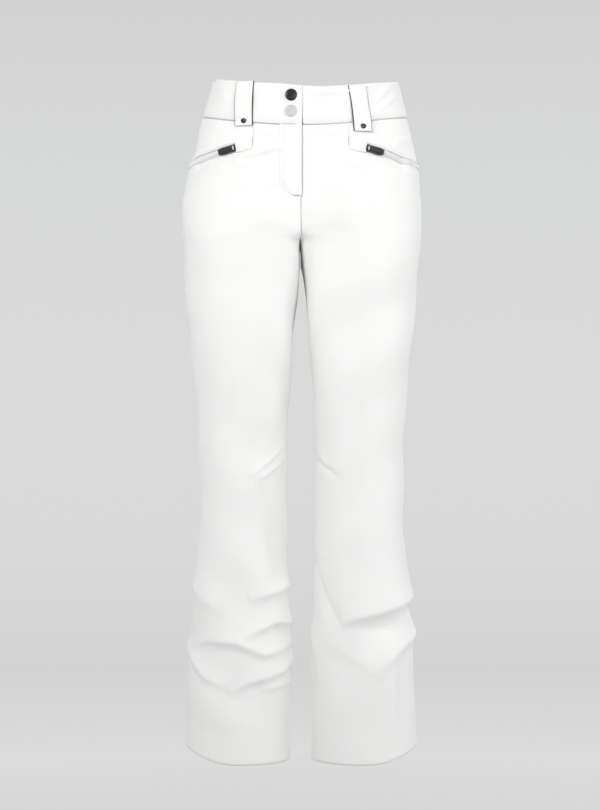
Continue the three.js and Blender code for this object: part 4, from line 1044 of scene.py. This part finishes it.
for side, sideName in ((-1, "right"), (1, "left")):
    slide = joints[f"{sideName}_pocket_zip_slide"]
    axis = np.array(slide["axis"])
    centre = np.array(slide["pos_m"])
    slope = np.array([side * math.cos(slotTilt), 0.0, -math.sin(slotTilt)])
    upAxis = axis * np.sign(axis[2])
    sliderAt = boxMiddle(f"{sideName}_pocket_slider")
    spoke = sliderAt - centre
    spoke -= upAxis * (spoke @ upAxis)

    def onCloth(angle, up, lift):
        # points along the slot: the turn about the leg, up across the slot in millimetres, lift off the skin
        z = np.full(np.shape(angle), 915.0)
        for _ in range(6):
            z = slotHeight(skinBase(side, angle, z)[..., 0])
        return skin(side, angle + 0 * up, z + up / math.cos(slotTilt), lift)

    turn = np.linspace(float(angleOfX(side, 84.0, np.float64(928.0))), 0.008, 96)
    for edge, edgeName in ((1, "upper"), (-1, "lower")):
        across = np.linspace(0.6, 13.5, 22)[:, None] * edge
        sunk = -0.55 - 1.7 * smooth((np.abs(across) - 3.7) / 1.1)
        tape = onCloth(turn[None, :], across, sunk + 0 * turn[None, :])
        piece = clothPiece(f"{sideName}PocketTape_{edgeName}", tape, [tapeCloth], 0.6, outward=outOfBody)
        place(piece, "root", "zip_tape", f"{sideName}_pocket_zip_tape_{edgeName}")
        seat = onCloth(turn, edge * 8.6, 0.2 + 0 * turn)
        frontStitches["root"].append((seat, onCloth(turn, edge * 8.6, 1.2 + 0 * turn) - seat))
    seat = onCloth(turn, 0.0, 0.15 + 0 * turn)
    toothRow(f"{sideName}PocketCoil", seat, onCloth(turn, 0.0, 1.15 + 0 * turn) - seat, "root", "zip_tape",
             (f"{sideName}_pocket_zip_coil",))

    # slider: a waisted body on the coil with a bridge, made round the place of the CAD slider
    body = f"{sideName}_slider"
    radial = spoke / np.linalg.norm(spoke)
    sliderTurn = float(angleOfX(side, abs(sliderAt[0]) / mm, sliderAt[2] / mm))
    clothAt = onCloth(np.array([sliderTurn]), 0.0, 0.0)[0]
    settle = (clothAt - sliderAt) @ radial
    sliderAt = sliderAt + radial * (settle + 1.0 * mm)
    tangent = np.cross(radial, upAxis)
    tangent *= np.sign(tangent @ slope)
    sliderOutline = roundedOutline(-5.8, 5.4, 6.2, 5.0, 0.5)
    loftedPlate(f"{sideName}SliderBody", sliderAt, tangent, radial, sliderOutline, 2.4, 0.5, blackLacquer,
                body, "black_snap", (f"{sideName}_pocket_slider",))
    bridgeOutline = roundedOutline(-4.4, 3.4, 1.5, 1.5, 0.6)
    loftedPlate(f"{sideName}SliderBridge", sliderAt + radial * 2.1 * mm, tangent, radial, bridgeOutline, 2.6,
                0.5, blackLacquer, body, "black_snap")

    # puller: a tapered moulded tab with rounded ends, a raised grip and a pale pin at its neck
    swing = joints[f"{sideName}_pocket_puller_swing"]
    pullerAt = boxMiddle(f"{sideName}_pocket_puller")
    barAt = np.array(swing["pos_m"])
    barAt = barAt + radial * ((clothAt - barAt) @ radial + 4.6 * mm)
    lying = pullerAt - barAt
    swingAxis = np.array(swing["axis"])
    lying = lying - swingAxis * (lying @ swingAxis)
    lying /= np.linalg.norm(lying)
    facing = np.cross(lying, swingAxis)
    facing *= np.sign(facing @ radial)
    pullerOutline = roundedOutline(-1.5, 26.5, 4.6, 5.2, 0.42)
    base = barAt - facing * 0.4 * mm
    pullerBody = f"{sideName}_puller"
    loftedPlate(f"{sideName}PullerTab", base, lying, facing, pullerOutline, 1.9, 0.35, pullerRubber,
                pullerBody, "puller_plastic", (f"{sideName}_pocket_puller",))
    panelOutline = roundedOutline(8.5, 23.5, 3.1, 3.6, 0.45)
    loftedPlate(f"{sideName}PullerGrip", base + facing * 0.95 * mm, lying, facing, panelOutline, 0.7, 0.25,
                pullerRubber, pullerBody, "puller_plastic")
    pinOutline = roundedOutline(-1.1, 1.1, 3.4, 3.4, 1.0, 32)
    loftedPlate(f"{sideName}PullerPin", base + facing * 0.7 * mm, lying, facing, pinOutline, 2.2, 0.2,
                paleLacquer, pullerBody, "puller_plastic")

    # garage: a small patch over the slot's inner end, taller toward the yoke seam
    u = np.linspace(0, 1, 44)[None, :]
    v = np.linspace(-1, 1, 34)[:, None]
    patchX = 72.3 + 25.5 * u + 0 * v
    halfTall = 10.0 - 2.2 * u
    patchZ = slotHeight(patchX) + v * halfTall
    rim = np.minimum(np.minimum(u * 25.5, (1 - u) * 25.5), (1 - np.abs(v)) * halfTall)
    patchLift = 1.7 - 0.8 * np.clip(1 - rim / 1.6, 0, 1) ** 2 - 0.4 * np.exp(-((rim - 2.4) / 0.8) ** 2)
    patch = skinAtX(side * patchX, patchZ, 1, patchLift + 0.8 * smooth(u * 1.4 - 0.4))
    piece = clothPiece(f"{sideName}PocketGarage", patch, [softshell, softshell], 1.2, outward=outOfBody)
    place(piece, "root", "softshell_cloth", f"{sideName}_pocket_garage")

    # pocket bag: two flat layers of lining, joined at their edge, hanging inside the front
    t = np.linspace(0, 2 * math.pi, 72, endpoint=False)[None, :]
    r = np.linspace(1, 0.001, 26)[:, None]
    shapeX = 108 + 36 * np.sign(np.cos(t)) * np.abs(np.cos(t)) ** 0.6 * r
    shapeZ = 858 + 52 * np.sign(np.sin(t)) * np.abs(np.sin(t)) ** 0.6 * r - (shapeX - 108) * 0.28
    swell = 2.0 * (1 - r ** 2) + 0.4 * np.sin(shapeX / 6) * (1 - r)
    outer = skinAtX(side * shapeX, shapeZ, 1, -10.5 + swell, plain=True)
    inner = skinAtX(side * shapeX, shapeZ, 1, -10.5 - swell, plain=True)
    pouch = np.concatenate([outer[::-1], inner[1:]], axis=0)
    faces = gridFaces(*pouch.shape[:2], closedAcross=True).reshape(-1, 4)
    flat = pouch.reshape(-1, 3)
    middle = flat.mean(axis=0)
    faces = facesOut(flat, faces, lambda m: m - middle)
    uv = np.stack([flat[:, 0], flat[:, 2]], axis=-1)
    piece = meshOf(f"{sideName}PocketBag", flat, faces, uv, [liningCloth])
    place(piece, "root", "lining_cloth", f"{sideName}_pocket_bag")
print("pockets made")

# ---------- fly zip under the flap ----------
teethLow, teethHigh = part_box("fly_zip_teeth")
zipX, zipY = (teethLow.x + teethHigh.x) / 2 / mm, (teethLow.y + teethHigh.y) / 2 / mm
z = np.linspace(teethLow.z / mm, teethHigh.z / mm, 60)
line = np.stack([zipX + 0 * z, zipY + 0.2 + 0 * z, z], axis=-1) * mm
toothRow("flyZipTeeth", line, np.tile([0.0, -1.0, 0.0], (len(z), 1)), "root", "zip_tape", ("fly_zip_teeth",))
for sideName in ("right", "left"):
    low, high = (np.array(item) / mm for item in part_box(f"fly_zip_tape_{sideName}"))
    x = np.linspace(low[0], high[0], 14)[None, :]
    z = np.linspace(low[2], high[2], 60)[:, None]
    tape = np.stack([x + 0 * z, low[1] + 0.15 * np.sin(z / 9) + 0 * x, z + 0 * x], axis=-1) * mm
    piece = clothPiece(f"flyTape_{sideName}", tape, [tapeCloth], 0.6, outward=outOfBody)
    place(piece, "root", "zip_tape", f"fly_zip_tape_{sideName}")

# ---------- hem facings, gaiters and their elastic ----------
for side, sideName in ((-1, "right"), (1, "left")):
    angle = np.linspace(-math.pi, math.pi, 121)[:-1][None, :]

    def ringInside(heights, depth, gather=0.0, gathers=26):
        z = heights[:, None]
        lift = -depth + gather * np.sin(gathers * angle) + 0 * z
        points = skin(side, angle + 0 * z, z + 0 * angle, lift, plain=True)
        rise = hemLift(angle, z) * (z < 60)
        points[..., 2] += rise * mm
        return points

    heights = np.linspace(1.5, 36, 18)
    facing = ringInside(heights, 2.6 + 0 * heights[:, None])
    piece = clothPiece(f"{sideName}HemFacing", facing, [softshell, fleece], 1.0, closedAcross=True)
    place(piece, "root", "softshell_cloth", f"{sideName}_hem_facing")
    low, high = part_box(f"{sideName}_gaiter")
    heights = np.linspace(low.z / mm, high.z / mm, 60)
    down = smooth((high.z / mm - heights) / (high.z - low.z) * mm)[:, None]
    gaiter = ringInside(heights, 11 + 13 * down, gather=1.3 * smooth((70 - heights[:, None]) / 45))
    piece = clothPiece(f"{sideName}SnowGaiter", gaiter, [gaiterCloth], 0.5, closedAcross=True)
    place(piece, "root", "lining_cloth", f"{sideName}_gaiter")
    heights = np.linspace(low.z / mm + 1, low.z / mm + 21, 14)
    elasticBand = ringInside(heights, 26.4 + 0 * heights[:, None], gather=0.35, gathers=52)
    piece = clothPiece(f"{sideName}GaiterElastic", elasticBand, [elasticKnit], 1.2, closedAcross=True)
    place(piece, "root", "elastic", f"{sideName}_gaiter_elastic")
print("hems and gaiters made")

# ---------- rows of stitches ----------
rootLines, flapLines = frontStitches["root"], frontStitches["flap"]
for side in (-1, 1):
    for face in (-1, 1):
        start, stop = 0.02, endAngle
        if face > 0:
            stop = loopAngle if side < 0 else float(angleOfX(1, 2.0, np.float64(bandMiddle)))
        angle = face * np.linspace(start, stop, 160)
        for fromEdge, top in ((5.0, True), (4.0, False)):
            z = topHeight(side, angle) - fromEdge if top else seamHeight(angle) + fromEdge
            rootLines.append(skinLine(side, angle, z, 0.55))
    # yoke seams: one row beside the upright seam, one below the back yoke
    z = np.linspace(948, 962, 12)
    rootLines.append(skinLineAtX(side * (panel["yokeSeamX"] - 4.5) + 0 * z, z, 1, 0.1))
    x = np.linspace(4, 158, 120)
    rootLines.append(skinLineAtX(side * x, backYokeHeight(x) - 4, -1, 0.1))
    rootLines.append(skinLineAtX(side * x, backYokeHeight(x) + 4, -1, 0.1))
    # knee darts
    turn = np.radians(np.linspace(112, 172, 50))
    z = np.interp(np.degrees(turn), [112, 132, 152, 178], [430, 443, 454, 472]) - (5 if side > 0 else 0)
    rootLines.append(skinLine(side, turn, z, 0.15))
x = np.linspace(-band["loopX"] + 14, -4, 60)
angle = angleOfX(-1, x, bandMiddle + 0 * x)
for z in (topHeight(-1, angle) - 5, seamHeight(angle) + 4.4):
    flapLines.append(skinLineAtX(x, z, 1, overlapLift(x) + 0.35))
z = np.linspace(waist["seamFront"] + 6, waist["topFront"] - 6, 24)
flapLines.append(skinLineAtX(-3.2 + 0 * z, z, 1, overlapLift(-3.2 + 0 * z) + 0.7))
z = np.linspace(jStitch["bottom"] + 4, waist["seamFront"] - 1, 60)
for inset in (0.0, 3.4):
    flapLines.append(skinLineAtX(-jLine(z) + inset, z, 1, 0.9 + 0 * z))
z = np.linspace(jStitch["bottom"] + 8, waist["seamFront"] - 1, 50)
flapLines.append(skinLineAtX(-2.2 + 0 * z, z, 1, 3.2 + 0 * z))
stitchMesh("bodyTopstitching", rootLines, "root")
stitchMesh("flapTopstitching", flapLines, "front_flap")
print("stitching made")

# ---------- floor, light and camera ----------
view = {"distance": 3.7, "height": 0.540, "across": -0.0015, "tall": 1.239}
steps = np.linspace(0, 2 * math.pi, 97)[:-1][None, :]
radius = np.linspace(0.001, 9.0, 40)[:, None]
floorZ = cadLow.z - 0.45
floorPoints = np.stack([radius * np.cos(steps), radius * np.sin(steps), floorZ + 0 * radius * steps], axis=-1)
floorMaterial, tree, shader = startMaterial("pale studio floor")
shader.inputs["Base Color"].default_value = linear("#DADADA")
shader.inputs["Roughness"].default_value = 0.9
coords = addNode(tree, "ShaderNodeTexCoord")
away = addNode(tree, "ShaderNodeVectorMath", {"operation": "LENGTH"}, {0: coords.outputs["Object"]})
fade = addNode(tree, "ShaderNodeMapRange", {"From Min": 1.2, "From Max": 3.2, "To Min": 1.0, "To Max": 0.0},
               {"Value": away.outputs["Value"]})
tree.links.new(fade.outputs[0], shader.inputs["Alpha"])
floorFaces = gridFaces(40, 96, closedAcross=True).reshape(-1, 4)
flat = floorPoints.reshape(-1, 3)
floorFaces = facesOut(flat, floorFaces, lambda m: np.tile([0.0, 0.0, 1.0], (len(m), 1)))
floor = meshOf("studioFloor", flat, floorFaces, None, [floorMaterial])
floor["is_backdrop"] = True

scene = bpy.context.scene
world = bpy.data.worlds.new("studio")
scene.world = world
world.use_nodes = True
tree = world.node_tree
background = tree.nodes["Background"]
background.inputs["Color"].default_value = linear("#FFFFFF")
background.inputs["Strength"].default_value = 0.49
# what is seen behind the pants: a pale sweep with painted shade, a little darker overhead and where it meets
# the floor
coords = addNode(tree, "ShaderNodeTexCoord")
parts = addNode(tree, "ShaderNodeSeparateXYZ", None, {0: coords.outputs["Generated"]})
height = addNode(tree, "ShaderNodeMapRange", {"From Min": -0.2, "From Max": 0.2},
                 {"Value": parts.outputs["Z"]})
sweep = addNode(tree, "ShaderNodeValToRGB", None, {"Fac": height.outputs[0]})
sweepPaintedShadeStops = {0.0: "#EAEAEA", 0.09: "#E4E4E4", 0.16: "#D9D9D9", 0.23: "#D3D3D4", 0.36: "#D9D9DA",
              0.5: "#DADADA", 0.75: "#D7D8D8", 0.9: "#D3D3D3", 1.0: "#D0D0D0"}
sweep.color_ramp.elements[0].color = linear(sweepPaintedShadeStops[0.0])
sweep.color_ramp.elements[1].color = linear(sweepPaintedShadeStops[1.0])
for at, shade in sweepPaintedShadeStops.items():
    if 0 < at < 1:
        sweep.color_ramp.elements.new(at).color = linear(shade)
seen = addNode(tree, "ShaderNodeBackground", {"Strength": 1.0}, {"Color": sweep.outputs["Color"]})
path = addNode(tree, "ShaderNodeLightPath")
mix = addNode(tree, "ShaderNodeMixShader", None, {0: path.outputs["Is Camera Ray"], 1: background.outputs[0],
                                                  2: seen.outputs[0]})
tree.links.new(mix.outputs[0], tree.nodes["World Output"].inputs["Surface"])
lights = {
    "keyLight": {"at": (-0.85, -1.6, 1.5), "size": 0.7, "power": 4.5, "aimAt": 0.72, "spread": 105},
    "fillLight": {"at": (1.4, -1.7, 1.35), "size": 1.0, "power": 5.7, "aimAt": 0.7, "spread": 115},
    "rightLight": {"at": (2.7, -0.4, 1.2), "size": 1.8, "power": 13, "aimAt": 0.55, "spread": 180},
    "leftLight": {"at": (-2.7, -0.4, 1.2), "size": 1.8, "power": 9, "aimAt": 0.55, "spread": 180},
    "backLight": {"at": (0.3, 2.4, 2.2), "size": 2.0, "power": 24, "aimAt": 0.55, "spread": 180},
}
for name, light in lights.items():
    data = bpy.data.lights.new(name, "AREA")
    data.size = light["size"]
    data.energy = light["power"]
    data.spread = math.radians(light["spread"])
    lamp = bpy.data.objects.new(name, data)
    scene.collection.objects.link(lamp)
    lamp.location = light["at"]
    aim = Vector((0, 0, light["aimAt"]))
    lamp.rotation_euler = (aim - Vector(light["at"])).to_track_quat("-Z", "Y").to_euler()
scene.view_settings.view_transform = "Standard"
scene.view_settings.look = "None"

cameraData = bpy.data.cameras.new("camera")
cameraData.sensor_width = 36
cameraData.lens = 36 * view["distance"] / view["tall"]
camera = bpy.data.objects.new("camera", cameraData)
scene.collection.objects.link(camera)
camera.location = (view["across"], seamPlaneY * mm - view["distance"], view["height"])
camera.rotation_euler = (math.pi / 2, 0, 0)
scene.camera = camera

for item in frame["nodes"].values():
    if not item.hide_render and not item.data.materials:
        item.data.materials.append(nickelPlate)
low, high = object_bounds()
print("scene made", [round(v, 4) for v in low], [round(v, 4) for v in high])
